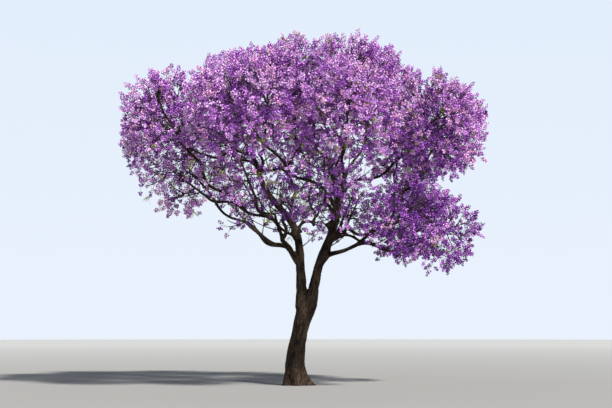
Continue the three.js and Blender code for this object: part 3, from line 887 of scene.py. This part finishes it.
def spray_fits(spray, mass, sprays, twigs, habit, wood):
    corners = np.vstack([spray.tip, spray.waist])
    if depths_in_space(mass, corners).min() <= SPACE_MARGIN or not in_box(corners):
        return False
    outer = spray.clear_from, spray.tip
    if sprays:
        starts = np.array([other.clear_from for other in sprays])
        ends = np.array([other.tip for other in sprays])
        if segment_distances(*outer, starts, ends).min() < habit.spacing:
            return False
    if len(twigs) and segment_distances(*outer, twigs[:, 0], twigs[:, 1]).min() < habit.twig_spacing:
        return False
    return not spray_touches_wood(spray, wood)


def sprays_on(branch, branches, mass, sprays, habit, wood, random):
    """Adds the sprays that fit on a branch, along it and at its tip, clear of the other branches."""
    heading = unit(branch[2] - branch[1])
    size = habit.length * min(1, max(SMALLEST_SPRAY, mass.reach / DOME_REACH))
    phase = random() * TAU
    others = [other for other in branches if other is not branch]
    twigs = np.array([piece for other in others for piece in (other[:2], other[1:])])
    for n, (along, turn) in enumerate(habit.places):
        root = point_on_branch(branch, along)
        own = size * (1 + SPRAY_SPREAD * (2 * random() - 1))
        for attempt in range(SPRAY_TRIES):
            azimuth = phase + n * GOLDEN_ANGLE + attempt * TRY_TURN
            aim = unit(splay(heading, azimuth, turn) + SPRAY_LIFT * UP)
            spray = make_spray(root, aim, own * (1 - TRY_SHRINK * attempt), random() * TAU)
            if spray_fits(spray, mass, sprays, twigs, habit, wood):
                sprays.append(spray)
                break


def edge_places(mass, random):
    """Places spread evenly over the edge of a mass's space, a little inside it."""
    count = EDGE_PLACES * mass.fill
    for n in range(count):
        height = 1 - (2 * n + 1) / count
        azimuth = n * GOLDEN_ANGLE + mass.index
        wide = math.sqrt(1 - height * height)
        direction = np.array([wide * math.cos(azimuth), wide * math.sin(azimuth), height])
        yield mass.centre + (room_ahead(mass, mass.centre, direction) - EDGE_INSET * random()) * direction


def fill_edges(mass, branches, sprays, wood):
    """Sprays towards places on the edge of a mass's space where none ends yet."""
    random = random_stream(EDGE_SEED + mass.index)
    anchors = np.array([point_on_branch(branch, along) for branch in branches for along in EDGE_ANCHORS])
    new_branches = []
    for place in edge_places(mass, random):
        roll = random() * TAU
        if norms(np.array([spray.tip for spray in sprays]) - place).min() < EDGE_SPACING:
            continue
        gaps = norms(anchors - place)
        root = anchors[gaps.argmin()]
        if gaps.min() > SPRAY_LENGTH:
            branch = branch_line(root, unit(place - root), gaps.min() - FILL_LENGTH)
            if wood.touches(branch[1], branch[2], TWIG_CLEARANCE):
                continue
            new_branches.append(branch)
            root = branch[2]
        spray = make_spray(root, unit(place - root), max(SHORTEST_SPRAY, norms(place - root)), roll)
        if in_box(spray.tip) and not spray_touches_wood(spray, wood):
            sprays.append(spray)
    branches += new_branches


def grow_mass(limb, wood):
    """A mass's stem, branches and sprays: those of the solids, then finer ones in between."""
    mass = limb.mass
    line = stem_line(limb)
    sprays = []
    random = random_stream(SPRAY_SEED + mass.index)
    branches = branch_lines(line, mass, mass.branches, SOLID_HABIT, wood, random)
    for branch in branches:
        sprays_on(branch, branches, mass, sprays, SOLID_HABIT, wood, random)
    random = random_stream(FILL_SEED + mass.index)
    branches += branch_lines(line, mass, mass.fill, FILL_HABIT, wood, random)
    branches += side_branches(branches, mass, FILL_HABIT, wood, random)
    for branch in branches:
        sprays_on(branch, branches, mass, sprays, FILL_HABIT, wood, random)
    fill_edges(mass, branches, sprays, wood)
    return line, branches, sprays


def inside_sprays(branch, aim, wood, random):
    """A few sprays on a thin branch, where they clear the limbs."""
    sprays = []
    for n, (along, turn) in enumerate(INSIDE_PLACES):
        heading = splay(aim, n * GOLDEN_ANGLE + random(), turn)
        length = mix(*INSIDE_SPRAYS, random())
        spray = make_spray(point_on_branch(branch, along), heading, length, random() * TAU)
        if not spray_touches_wood(spray, wood):
            sprays.append(spray)
    return sprays


def grow_inside(limbs, wood):
    """Thin branches with sprays, all along the limbs below the masses."""
    branches, sprays = [], []
    for limb in limbs:
        random = random_stream(INSIDE_SEED + limb.mass.index)
        count = int((limb.lengths[-1] - limb.lengths[0]) / INSIDE_STEP)
        points = limb.curve(count)
        tangents = tangents_of(points)
        for n in range(1, count):
            radius = float(limb.radii(np.array(n / count)))
            side = splay(tangents[n], n * GOLDEN_ANGLE + TAU * random(), mix(*INSIDE_TURNS, random()))
            aim = unit(side + SPRAY_LIFT * UP)
            root = points[n] + INSIDE_START * radius * aim
            branch = branch_line(root, aim, mix(*INSIDE_LENGTHS, random()))
            if root[2] < LOWEST_INSIDE or aim[2] < LEAST_RISE or not in_box(branch[2]):
                continue
            if wood.touches(root + (radius + TWIG_CLEARANCE) * aim, branch[2], TWIG_CLEARANCE):
                continue
            branches.append(branch)
            sprays += inside_sprays(branch, aim, wood, random)
    return branches, sprays


# Meshes from arrays


class Pile:
    """Vertices and triangles of many small shapes, gathered for one mesh."""

    def __init__(self):
        self.vertices = []
        self.faces = []
        self.count = 0

    def add(self, vertices, faces):
        """Adds shapes (n, v, 3) that all have the same triangles (f, 3)."""
        shapes, each = vertices.shape[:2]
        offsets = self.count + each * np.arange(shapes)
        self.vertices.append(vertices.reshape(-1, 3))
        self.faces.append((faces[None] + offsets[:, None, None]).reshape(-1, 3))
        self.count += shapes * each

    def mesh(self, name):
        made = bpy.data.meshes.new(name)
        made.from_pydata(np.concatenate(self.vertices), [], np.concatenate(self.faces), shade_flat=False)
        return made


def add_piece(name, mesh, material, nodes):
    """A piece of the tree, which rides on its one body and stands for some of the solids."""
    piece = bpy.data.objects.new(name, mesh)
    bpy.context.scene.collection.objects.link(piece)
    mesh.materials.clear()
    mesh.materials.append(material)
    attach(piece, "root")
    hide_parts(*nodes)


def frames_along(lines):
    """The directions of many lines (n, k, 3) at their points, and sideways ones that turn little."""
    steps = np.diff(lines, axis=1)
    tangents = unit(np.concatenate([steps[:, :1], steps[:, 1:] + steps[:, :-1], steps[:, -1:]], axis=1))
    sideways = [perpendicular(tangents[:, 0])]
    for k in range(1, lines.shape[1]):
        slip = (sideways[-1] * tangents[:, k]).sum(1, keepdims=True)
        sideways.append(unit(sideways[-1] - slip * tangents[:, k]))
    return tangents, np.stack(sideways, axis=1)


def tube_faces(rings, sides):
    """The triangles of one closed tube, outward."""
    faces = []
    for ring in range(rings - 1):
        for i in range(sides):
            here, there = ring * sides + i, ring * sides + (i + 1) % sides
            faces += [(here, there, there + sides), (here, there + sides, here + sides)]
    last = (rings - 1) * sides
    for i in range(1, sides - 1):
        faces += [(0, i + 1, i), (last, last + i, last + i + 1)]
    return np.array(faces)


def add_tubes(pile, lines, radii, sides):
    """Closed tubes along many lines (n, k, 3) with radii (n, k), or fewer for all alike."""
    tangents, sideways = frames_along(lines)
    across = np.cross(tangents, sideways)
    angles = angles_round(sides)
    ring = np.cos(angles)[:, None] * sideways[:, :, None] + np.sin(angles)[:, None] * across[:, :, None]
    vertices = lines[:, :, None] + np.broadcast_to(radii, lines.shape[:2])[..., None, None] * ring
    pile.add(vertices.reshape(len(lines), -1, 3), tube_faces(lines.shape[1], sides))


# Bark


def limb_tubes(pile, limb):
    """A limb as a smooth tube, swollen where it leaves its parent or the trunk."""
    length = limb.lengths[-1] - limb.lengths[0]
    steps = max(FEWEST_STEPS, round(length / BARK_STEP))
    points = limb.curve(steps)
    radii = limb.radii(np.linspace(0, 1, steps + 1))
    if limb.parent:
        beyond = np.maximum(0, lengths_along(points, 0) - limb.radius_of_parent())
        radii = radii * (1 + COLLAR * np.exp(-beyond / COLLAR_LENGTH))
    else:
        ways = lengths_along(points, 0) / STEM_SWELL_AT
        radii = radii * (1 + STEM_SWELL * ways * np.exp(1 - ways))
    add_tubes(pile, points[None], radii, BARK_SIDES)
    return points, radii


def trunk_tube(pile):
    """The trunk, from below the ground to its round top; what lies below the ground is cut off later."""
    shares = np.linspace(0, 1, TRUNK_STEPS + 1)
    middles = bezier([np.array(bend, float) for bend in TRUNK_BENDS], shares)
    below = np.array([[0, 0, -FOOT_DEPTH]])
    middles = np.concatenate([middles[:1] + below, middles])
    angles = angles_round(TRUNK_SIDES)
    radii = trunk_radii(np.maximum(0, middles[:, 2:]), angles)
    around = np.stack([np.cos(angles), np.sin(angles), 0 * angles], axis=1)
    vertices = middles[:, None] + radii[..., None] * around
    pile.add(vertices.reshape(1, -1, 3), tube_faces(len(middles), TRUNK_SIDES))
    return middles, radii.mean(1)


def remeshed(mesh):
    """One closed skin over all the tubes, with the forks smoothed."""
    scratch = bpy.data.objects.new("scratch", mesh)
    bpy.context.scene.collection.objects.link(scratch)
    skin = scratch.modifiers.new("skin", "REMESH")
    skin.mode = "VOXEL"
    skin.voxel_size = BARK_VOXEL
    smooth = scratch.modifiers.new("smooth", "SMOOTH")
    smooth.factor = BARK_SMOOTHNESS
    smooth.iterations = BARK_SMOOTHING
    made = bpy.data.meshes.new_from_object(scratch.evaluated_get(bpy.context.evaluated_depsgraph_get()))
    bpy.data.objects.remove(scratch)
    return made


def bark_samples(lines):
    """Points along all limbs with what the relief needs there: frame, way along the limb and radius."""
    samples = []
    for points, radii in lines:
        tangents, sideways = frames_along(points[None])
        across = np.cross(tangents, sideways)[0]
        ways = lengths_along(points, 0)
        for k, point in enumerate(points):
            samples.append((point, tangents[0][k], sideways[0][k], across[k], ways[k], radii[k]))
    return samples


def fissure_depth(aside, across, along, count, stretch, width):
    """How deep in a fissure a place lies, from 0 to 1; fissures run along the limb."""
    place = (aside * count, across * count, along * count / stretch)
    return max(0.0, 1 - abs(noise.noise(place)) / width)


def place_on_limb(place, tree, samples):
    """Where a place lies by the limb that it is on: two ways across, along, and the limb's radius."""
    _, nearest = min((gap - samples[n][-1], n) for _, n, gap in tree.find_n(place, NEAR_SAMPLES))
    point, tangent, sideways, across, way, radius = samples[nearest]
    offset = place - point
    return float(offset @ sideways), float(offset @ across), way + float(offset @ tangent), radius


def carve_bark(mesh, samples):
    """Raises plates and cuts fissures that run along each limb, and notes how deep each place is cut, which
    sets its painted shade.
    """
    tree = KDTree(len(samples))
    for n, sample in enumerate(samples):
        tree.insert(sample[0], n)
    tree.balance()
    places, normals = np.zeros((2, len(mesh.vertices), 3), np.float32)
    mesh.vertices.foreach_get("co", places.ravel())
    mesh.vertex_normals.foreach_get("vector", normals.ravel())
    depths = np.zeros(len(places), np.float32)
    for n, place in enumerate(places):
        aside, across, along, radius = place_on_limb(place, tree, samples)
        lump = noise.noise((aside * LUMPS + LUMP_SHIFT, across * LUMPS, along * LUMPS / LUMP_STRETCH))
        aside += FISSURE_WANDER * lump
        wide = fissure_depth(aside, across, along, *FISSURES)
        fine = fissure_depth(aside, across, along, *CRACKS)
        # each place's painted shade: the deeper of a wide fissure and, weaker, a fine crack line
        depths[n] = max(wide, CRACK_SHADE * fine)
        relief = LUMP_HEIGHT * lump - FISSURE_DEPTH * wide - CRACK_DEPTH * fine
        places[n] += min(1.0, max(RELIEF_LEAST, radius / RELIEF_RADIUS)) * relief * normals[n]
    mesh.vertices.foreach_set("co", places.ravel())
    # the bark's material reads this attribute for the painted shade in the fissures
    mesh.attributes.new("fissure", "FLOAT", "POINT").data.foreach_set("value", depths)
    mesh.update()


def cut_at_ground(mesh):
    """A flat cut at ground level, closed."""
    work = bmesh.new()
    work.from_mesh(mesh)
    everything = work.verts[:] + work.edges[:] + work.faces[:]
    ground = {"plane_co": (0, 0, 0), "plane_no": (0, 0, 1)}
    cut = bmesh.ops.bisect_plane(work, geom=everything, clear_inner=True, **ground)
    edges = [part for part in cut["geom_cut"] if isinstance(part, bmesh.types.BMEdge)]
    bmesh.ops.triangle_fill(work, edges=edges, use_beauty=True, normal=(0, 0, -1))
    bmesh.ops.triangulate(work, faces=work.faces[:])
    work.to_mesh(mesh)
    work.free()


def make_bark(limbs):
    """The bark's mesh over the trunk, the stems and the boughs."""
    pile = Pile()
    lines = [trunk_tube(pile)] + [limb_tubes(pile, limb) for limb in limbs]
    mesh = remeshed(pile.mesh("bark"))
    carve_bark(mesh, bark_samples(lines))
    cut_at_ground(mesh)
    mesh.shade_smooth()
    return mesh


# Twigs


def curved(lines, steps):
    """Smooth curves (n, steps + 1, 3) through three points each (n, 3, 3)."""
    starts, middles, ends = lines[:, 0, None], lines[:, 1, None], lines[:, 2, None]
    t = np.linspace(0, 1, steps + 1)[:, None]
    controls = 2 * middles - (starts + ends) / 2
    return (1 - t) ** 2 * starts + 2 * (1 - t) * t * controls + t**2 * ends


def stem_curve(line, steps):
    """A smooth curve through the points of a mass's stem."""
    corners = np.vstack([2 * line[0] - line[1], line, 2 * line[-1] - line[-2]])
    shares = np.linspace(0, len(line) - 1, steps + 1)
    k = np.minimum(shares.astype(int), len(line) - 2)
    t = (shares - k)[:, None]
    a, b, c, d = (corners[k + n] for n in range(4))
    return b + t / 2 * (c - a + t * (2 * a - 5 * b + 4 * c - d + t * (3 * b - a - 3 * c + d)))


def taper(shares, steps):
    return np.interp(np.linspace(0, 1, steps + 1), np.linspace(0, 1, len(shares)), shares)


def add_thin_branches(pile, lines):
    branches = curved(np.array(lines), BRANCH_STEPS)
    radii = TWIG_RADIUS * taper(TWIG_TAPER, BRANCH_STEPS)
    add_tubes(pile, branches, radii, BRANCH_SIDES)


def add_wood_of_masses(pile, growths):
    """The stems and branches of all masses."""
    stems = np.array([stem_curve(line, STEM_STEPS) for line, _, _ in growths])
    radii = TIP_RADIUS * taper(STEM_RADII, STEM_STEPS)
    add_tubes(pile, stems, radii, STEM_SIDES)
    add_thin_branches(pile, [branch for _, some, _ in growths for branch in some])


@dataclass(eq=False)
class Panicles:
    """Many panicles at once: where each starts, its direction, its length and its spray's number."""

    roots: np.ndarray
    aims: np.ndarray
    lengths: np.ndarray
    owners: np.ndarray


def about_one(random, spread, size):
    return random.uniform(1 - spread, 1 + spread, size)


def add_spray_twigs(pile, roots, aims, lengths, random):
    """Each spray's own twig, a little bent, with room for a panicle at its tip."""
    tips = PANICLE_LENGTH * about_one(random, PANICLE_SPREAD, len(roots))
    ends = roots + (lengths - tips)[:, None] * aims
    sways = TWIG_BEND * random.normal(size=roots.shape) - TWIG_SAG * UP
    twigs = curved(np.stack([roots, (roots + ends) / 2 + lengths[:, None] * sways, ends], axis=1), TWIG_STEPS)
    add_tubes(pile, twigs, SPRAY_TWIG_RADII * np.sqrt(lengths / SPRAY_LENGTH)[:, None], TWIG_SIDES)
    return twigs, tips


def spread_panicles(pile, sprays, masses, random):
    """A panicle at the tip of each spray's twig and others along it."""
    roots = np.array([spray.root for spray in sprays])
    aims = np.array([spray.aim for spray in sprays])
    lengths = np.array([spray.length for spray in sprays])
    twigs, tips = add_spray_twigs(pile, roots, aims, lengths, random)
    made = [(twigs[:, -1], aims, tips, np.arange(len(sprays)))]
    counts = np.round(lengths / PANICLE_SPACING).astype(int)
    phases = random.uniform(0, TAU, len(sprays))
    for n in range(counts.max()):
        some = np.flatnonzero(counts > n)
        shares = np.minimum((n + random.uniform(*PANICLE_SHIFTS, len(some))) / counts[some], LAST_PANICLE)
        shares = mix(BARE_SHARE, 1, shares)
        steps = (TWIG_STEPS * shares).astype(int)
        starts = mix(twigs[some, steps], twigs[some, steps + 1], (TWIG_STEPS * shares - steps)[:, None])
        turns = mix(*PANICLE_TURNS, shares)
        own = splay(aims[some], phases[some] + n * GOLDEN_ANGLE, turns) + PANICLE_LIFT * UP
        own = unit(own + PANICLE_WANDER * random.normal(size=own.shape))
        sizes = PANICLE_LENGTH * mix(*PANICLE_SIZES, shares) * about_one(random, PANICLE_SPREAD, len(some))
        made.append((starts, own, sizes, some))
    panicles = Panicles(*(np.concatenate(parts) for parts in zip(*made)))
    return chosen(panicles, random.random(len(panicles.roots)) < bloom_shares(panicles.roots, masses))


def crown_light(places):
    """How near the crown's top places are: 1 in its outer shell, 0 well below it."""
    x, y, z = places.T
    swell = np.sqrt(np.maximum(0, 1 - (x / CROWN_HALF_WIDTH) ** 2 - (y / CROWN_HALF_DEPTH) ** 2))
    return 1 - rise(dome_height(x, y, swell, 0) - z, *SHELL_DEPTHS)


def mass_light(places, masses):
    """How far out of every mass's core places are, from 0 to 1."""
    outward = np.min([norms(places - mass.centre) / mass.reach for mass in masses], axis=0)
    return rise(outward, *CORE_EDGE)


def bloom_shares(places, masses):
    """The crown flowers most where it meets the light: near its top, on the right, and outside a mass."""
    light = np.maximum(crown_light(places), RIGHT_BLOOM * rise(places[:, 0], *RIGHT_EDGE))
    return mix(LEAST_BLOOM, 1, light) * mix(CORE_BLOOM, 1, np.maximum(mass_light(places, masses), 1 - light))


def add_panicle_stalks(pile, panicles):
    ends = panicles.roots + STALK_SHARE * panicles.lengths[:, None] * panicles.aims
    add_tubes(pile, np.stack([panicles.roots, ends], axis=1), STALK_RADII, TWIG_SIDES)


# Flowers, leaves and pods


def flower_faces():
    """A trumpet: its tube's point, then the rim."""
    return np.array([(0, 1 + i, 1 + (i + 1) % FLOWER_SIDES) for i in range(FLOWER_SIDES)])


def flower_shapes(panicles, random):
    """Trumpet flowers round the stalk of each panicle, the top ones smaller and more upright."""
    size = len(panicles.roots), PANICLE_FLOWERS
    shares = (np.arange(PANICLE_FLOWERS) + 0.5) / PANICLE_FLOWERS
    shares = np.clip(mix(BARE_STALK, 1, shares) + FLOWER_SHIFT * random.uniform(-1, 1, size), 0, 1)
    azimuths = GOLDEN_ANGLE * np.arange(PANICLE_FLOWERS) + random.uniform(0, TAU, (size[0], 1))
    turns = mix(*FLOWER_TURNS, shares) * about_one(random, FLOWER_SPREAD, size)
    stalk = np.repeat(panicles.aims[:, None], PANICLE_FLOWERS, axis=1)
    aims = unit(splay(stalk, azimuths, turns) - FLOWER_DROOP * UP)
    lengths = FLOWER_LENGTH * mix(*FLOWER_SIZES, shares) * about_one(random, FLOWER_SPREAD, size)
    places = panicles.roots[:, None] + (shares * panicles.lengths[:, None])[..., None] * stalk
    places = places + mix(*FLOWER_STALKS, shares)[..., None] * aims
    mouths = lengths * FLOWER_MOUTH * about_one(random, FLOWER_SPREAD, size)
    corners = [places]
    for angle in angles_round(FLOWER_SIDES):
        side = splay(aims, angle + azimuths, TAU / 4)
        reach = lengths * about_one(random, PETAL_SPREAD, size)
        corners.append(places + reach[..., None] * aims + mouths[..., None] * side)
    return np.stack(corners, axis=2).reshape(-1, 1 + FLOWER_SIDES, 3)


def chosen(panicles, some):
    return Panicles(panicles.roots[some], panicles.aims[some], panicles.lengths[some], panicles.owners[some])


def places_on_some(sprays, share, places, random):
    """Some of the sprays, each with a place on it."""
    for spray in sprays:
        if random.random() <= share:
            yield spray, mix(spray.root, spray.tip, random.uniform(*places))


def add_leaves(pile, sprays, random):
    """Young ferny leaves in tufts on some sprays."""
    for spray, root in places_on_some(sprays, LEAFY_SHARE, TUFT_PLACES, random):
        for angle in angles_round(LEAVES_IN_TUFT):
            aim = splay(spray.aim, angle + random.uniform(0, 1), random.uniform(*LEAF_TURNS))
            add_leaf(pile, root, aim, LEAF_LENGTH * random.uniform(*LEAF_SIZES))


def add_leaf(pile, root, aim, length):
    """A leaf: a bent rib with pairs of narrow leaflets."""
    side = perpendicular(aim)
    end = root + length * (aim - LEAF_DROOP * UP)
    middle = mix(root, end, 0.5) + LEAF_ARCH * length * UP
    rib = curved(np.array([[root, middle, end]]), LEAF_PAIRS)
    add_tubes(pile, rib[:, :: LEAF_PAIRS // 2], RIB_RADII, TWIG_SIDES)
    starts = rib[0, 1:]
    sizes = LEAFLET_LENGTH * np.sin(math.pi * np.linspace(*LEAFLET_SWELL, LEAF_PAIRS))[:, None]
    for hand in (-1, 1):
        out = unit(hand * side + LEAFLET_LEAN * aim - LEAFLET_DROOP * UP)
        tips = starts + sizes * out
        middles = mix(starts, tips, 0.5) + LEAFLET_ARCH * sizes * UP
        edges = LEAFLET_WIDTH * sizes * unit(np.cross(out, np.cross(side, aim)))
        leaflets = np.stack([starts, middles + edges, tips, middles - edges], axis=1)
        pile.add(leaflets, np.array([(0, 1, 2), (0, 2, 3)]))


def pod_faces():
    """A flat pod: the middles of both its sides, then the rim."""
    rim = [(2 + i, 2 + (i + 1) % POD_SIDES) for i in range(POD_SIDES)]
    return np.array([(0, a, b) for a, b in rim] + [(1, b, a) for a, b in rim])


def add_pods(pile, twigs, sprays, random):
    """Flat round pods from the year before, which hang on short stalks under some sprays."""
    angles = angles_round(POD_SIDES)[:, None]
    for _, root in places_on_some(sprays, POD_SHARE, POD_PLACES, random):
        hang = unit(random.normal(0, POD_SWING, 3) - UP)
        top = root + random.uniform(*POD_STALKS) * hang
        add_tubes(twigs, np.array([[root, top]]), POD_STALK_RADIUS, TWIG_SIDES)
        flat = perpendicular(unit(random.normal(size=3)))
        first = perpendicular(flat)
        radius = POD_RADIUS * random.uniform(*POD_SIZES)
        centre = top + radius * hang
        edge = centre + radius * (np.cos(angles) * first + np.sin(angles) * np.cross(flat, first))
        middles = [centre + POD_THICKNESS * flat, centre - POD_THICKNESS * flat]
        pile.add(np.vstack([middles, edge])[None], pod_faces())


# Materials


def add_node(tree, kind, **values):
    """A node of a kind, with plain values or other nodes' outputs in its inputs."""
    node = tree.nodes.new("ShaderNode" + kind)
    for name, value in values.items():
        if isinstance(value, bpy.types.NodeSocket):
            tree.links.new(value, node.inputs[name])
        else:
            node.inputs[name].default_value = value
    return node


def new_material(name, roughness, shine):
    """A material with its nodes and its shader."""
    material = bpy.data.materials.new(name)
    material.use_nodes = True
    shader = material.node_tree.nodes["Principled BSDF"]
    shader.inputs["Roughness"].default_value = roughness
    shader.inputs["Specular IOR Level"].default_value = shine
    return material, material.node_tree, shader


def object_noise(tree, scale, detail, stretch=(1, 1, 1)):
    """Noise in the object's own coordinates."""
    place = add_node(tree, "TexCoord").outputs["Object"]
    mapped = add_node(tree, "Mapping", Vector=place, Scale=stretch).outputs["Vector"]
    return add_node(tree, "TexNoise", Vector=mapped, Scale=scale, Detail=detail).outputs["Fac"]


def ramp(tree, factor, stops):
    """A colour for each value of a factor, from (value, colour) stops."""
    node = add_node(tree, "ValToRGB", Fac=factor)
    elements = node.color_ramp.elements
    for n, (value, colour) in enumerate(stops):
        element = elements[n] if n < len(elements) else elements.new(value)
        element.position = value
        element.color = (*colour, 1)
    return node.outputs["Color"]


def darken(tree, factor, colour, dark):
    """A colour that turns into a dark one by a factor."""
    node = add_node(tree, "Mix")
    node.data_type = "RGBA"
    tree.links.new(factor, node.inputs["Factor"])
    tree.links.new(colour, node.inputs["A"])
    node.inputs["B"].default_value = (*dark, 1)
    return node.outputs["Result"]


def bark_material():
    """Dark brown bark with paler plates, and painted shade that darkens it in its fissures and along fine
    crack lines.
    """
    material, tree, shader = new_material("bark", *BARK_SURFACE)
    patches = ramp(tree, object_noise(tree, *PATCHES), zip(PATCH_STOPS, (BARK_DARK, BARK_PALE)))
    grain = object_noise(tree, *GRAIN)
    # painted shade in the troughs of the fine grain, which the bump also follows
    crack_shade_mask = ramp(tree, grain, zip(GRAIN_SHADE_STOPS, (WHITE, BLACK)))
    patches_and_crack_shade = darken(tree, crack_shade_mask, patches, BARK_PAINTED_SHADE)
    # painted shade in the fissures, as deep as the carving noted
    fissure = add_node(tree, "Attribute")
    fissure.attribute_name = "fissure"
    tree.links.new(darken(tree, fissure.outputs["Fac"], patches_and_crack_shade, BARK_PAINTED_SHADE), shader.inputs["Base Color"])
    strength, height = BARK_BUMP
    bump = add_node(tree, "Bump", Height=grain, Strength=strength, Distance=height)
    tree.links.new(bump.outputs["Normal"], shader.inputs["Normal"])
    return material


def speckled_material(name, dark, pale, scale, roughness, shine):
    """Two close colours, mixed by fine noise."""
    material, tree, shader = new_material(name, roughness, shine)
    colour = ramp(tree, object_noise(tree, scale, SPECKLE_DETAIL), zip(SPECKLE_STOPS, (dark, pale)))
    tree.links.new(colour, shader.inputs["Base Color"])
    return material


def floor_material():
    """Pale grey, a little darker near the tree."""
    material, tree, shader = new_material("floor", *FLOOR_SURFACE)
    way = add_node(tree, "VectorMath", Vector=add_node(tree, "TexCoord").outputs["Object"])
    way.operation = "LENGTH"
    share = add_node(tree, "MapRange", **{"Value": way.outputs["Value"], "From Max": FLOOR_RADIUS})
    tree.links.new(ramp(tree, share.outputs["Result"], FLOOR_COLOURS), shader.inputs["Base Color"])
    return material


# Stage, light and camera


def add_stage():
    """A plain pale floor."""
    bpy.ops.mesh.primitive_circle_add(vertices=FLOOR_SIDES, radius=FLOOR_RADIUS, fill_type="NGON")
    floor = bpy.context.object
    floor.name = "floor"
    floor.location.z = -FLOOR_DROP
    floor.data.materials.append(floor_material())


def add_light():
    """A pale sky, bright low down, and a soft sun from the upper right."""
    scene = bpy.context.scene
    scene.view_settings.view_transform = "Standard"
    scene.world = bpy.data.worlds.new("sky")
    scene.world.use_nodes = True
    tree = scene.world.node_tree
    parts = add_node(tree, "SeparateXYZ", Vector=add_node(tree, "TexCoord").outputs["Generated"])
    sky = ramp(tree, parts.outputs["Z"], SKY_BANDS)
    tree.links.new(sky, tree.nodes["Background"].inputs["Color"])
    light = bpy.data.lights.new("sun", "SUN")
    light.energy = SUN_STRENGTH
    light.angle = SUN_ANGLE
    light.color = SUN_COLOUR
    sun = bpy.data.objects.new("sun", light)
    sun.rotation_euler = Vector(SUN_FROM).to_track_quat("Z", "Y").to_euler()
    scene.collection.objects.link(sun)


def add_camera():
    """Eye height, as far off as the photographer stood, and closer in on the tree."""
    data = bpy.data.cameras.new("camera")
    data.lens = CAMERA_LENS
    data.clip_end = FARTHEST_VIEW
    camera = bpy.data.objects.new("camera", data)
    camera.location = CAMERA_PLACE
    look = Vector(CAMERA_AIM) - Vector(CAMERA_PLACE)
    camera.rotation_euler = look.to_track_quat("-Z", "Y").to_euler()
    bpy.context.scene.collection.objects.link(camera)
    bpy.context.scene.camera = camera


# The tree


def deal_tints(sprays, panicles, masses, random):
    """A tint for each panicle: one draw for each spray, some strays, and darker ones in the shade."""
    draws = random.random(len(sprays))[panicles.owners]
    strays = random.random(len(draws)) < STRAY_SHARE
    draws[strays] = random.random(strays.sum())
    places = panicles.roots
    light = np.maximum(crown_light(places), LEFT_LIGHT * rise(places[:, 0], *LEFT_EDGE))
    shade = 1 - light * mass_light(places, masses)
    bounds = np.cumsum([weight for _, _, _, weight in TINTS])
    draws = bounds[-1] * np.clip(draws + SHADE_SHIFT * (shade - SHADE_MIDDLE), 0, 1)
    return np.minimum(np.searchsorted(bounds, draws), len(TINTS) - 1)


def add_blossom(sprays, panicles, masses, nodes, random):
    """The flowers of all panicles, a piece for each tint."""
    tints = deal_tints(sprays, panicles, masses, random)
    for n, (name, dark, pale, _) in enumerate(TINTS):
        flowers = Pile()
        flowers.add(flower_shapes(chosen(panicles, tints == n), random), flower_faces())
        mesh = flowers.mesh(name)
        mesh.shade_smooth()
        material = speckled_material("blossom_" + name, dark, pale, *PETALS)
        add_piece("flowers_" + name, mesh, material, nodes)


def build_tree():
    masses = lay_out_masses()
    limbs = make_limbs(masses)
    wood = wood_of(limbs)
    growths = [grow_mass(limb, wood) for limb in limbs]
    inside_branches, inside_sprays = grow_inside(limbs, wood)
    sprays = [spray for _, _, some in growths for spray in some] + inside_sprays
    random = np.random.default_rng(FINE_SEED)
    limb_nodes = ["trunk"] + [limb.name for limb in limbs]
    mass_nodes = [f"blossom_{mass.index + 1:02d}" for mass in masses]
    add_piece("bark", make_bark(limbs), bark_material(), limb_nodes)

    twigs, stalks, pods, leaves = Pile(), Pile(), Pile(), Pile()
    add_wood_of_masses(twigs, growths)
    add_thin_branches(twigs, inside_branches)
    panicles = spread_panicles(twigs, sprays, masses, random)
    add_panicle_stalks(stalks, panicles)
    add_pods(pods, twigs, sprays, random)
    add_leaves(leaves, sprays, random)
    twig_bark, husk, leaf = (speckled_material(name, *values) for name, values in SPECKLED.items())
    add_piece("twigs", twigs.mesh("twigs"), twig_bark, mass_nodes)
    add_piece("stalks", stalks.mesh("stalks"), twig_bark, mass_nodes)
    add_piece("pods", pods.mesh("pods"), husk, mass_nodes)
    add_piece("leaves", leaves.mesh("leaves"), leaf, mass_nodes)
    add_blossom(sprays, panicles, masses, mass_nodes, random)


add_camera()
add_light()
add_stage()
build_tree()
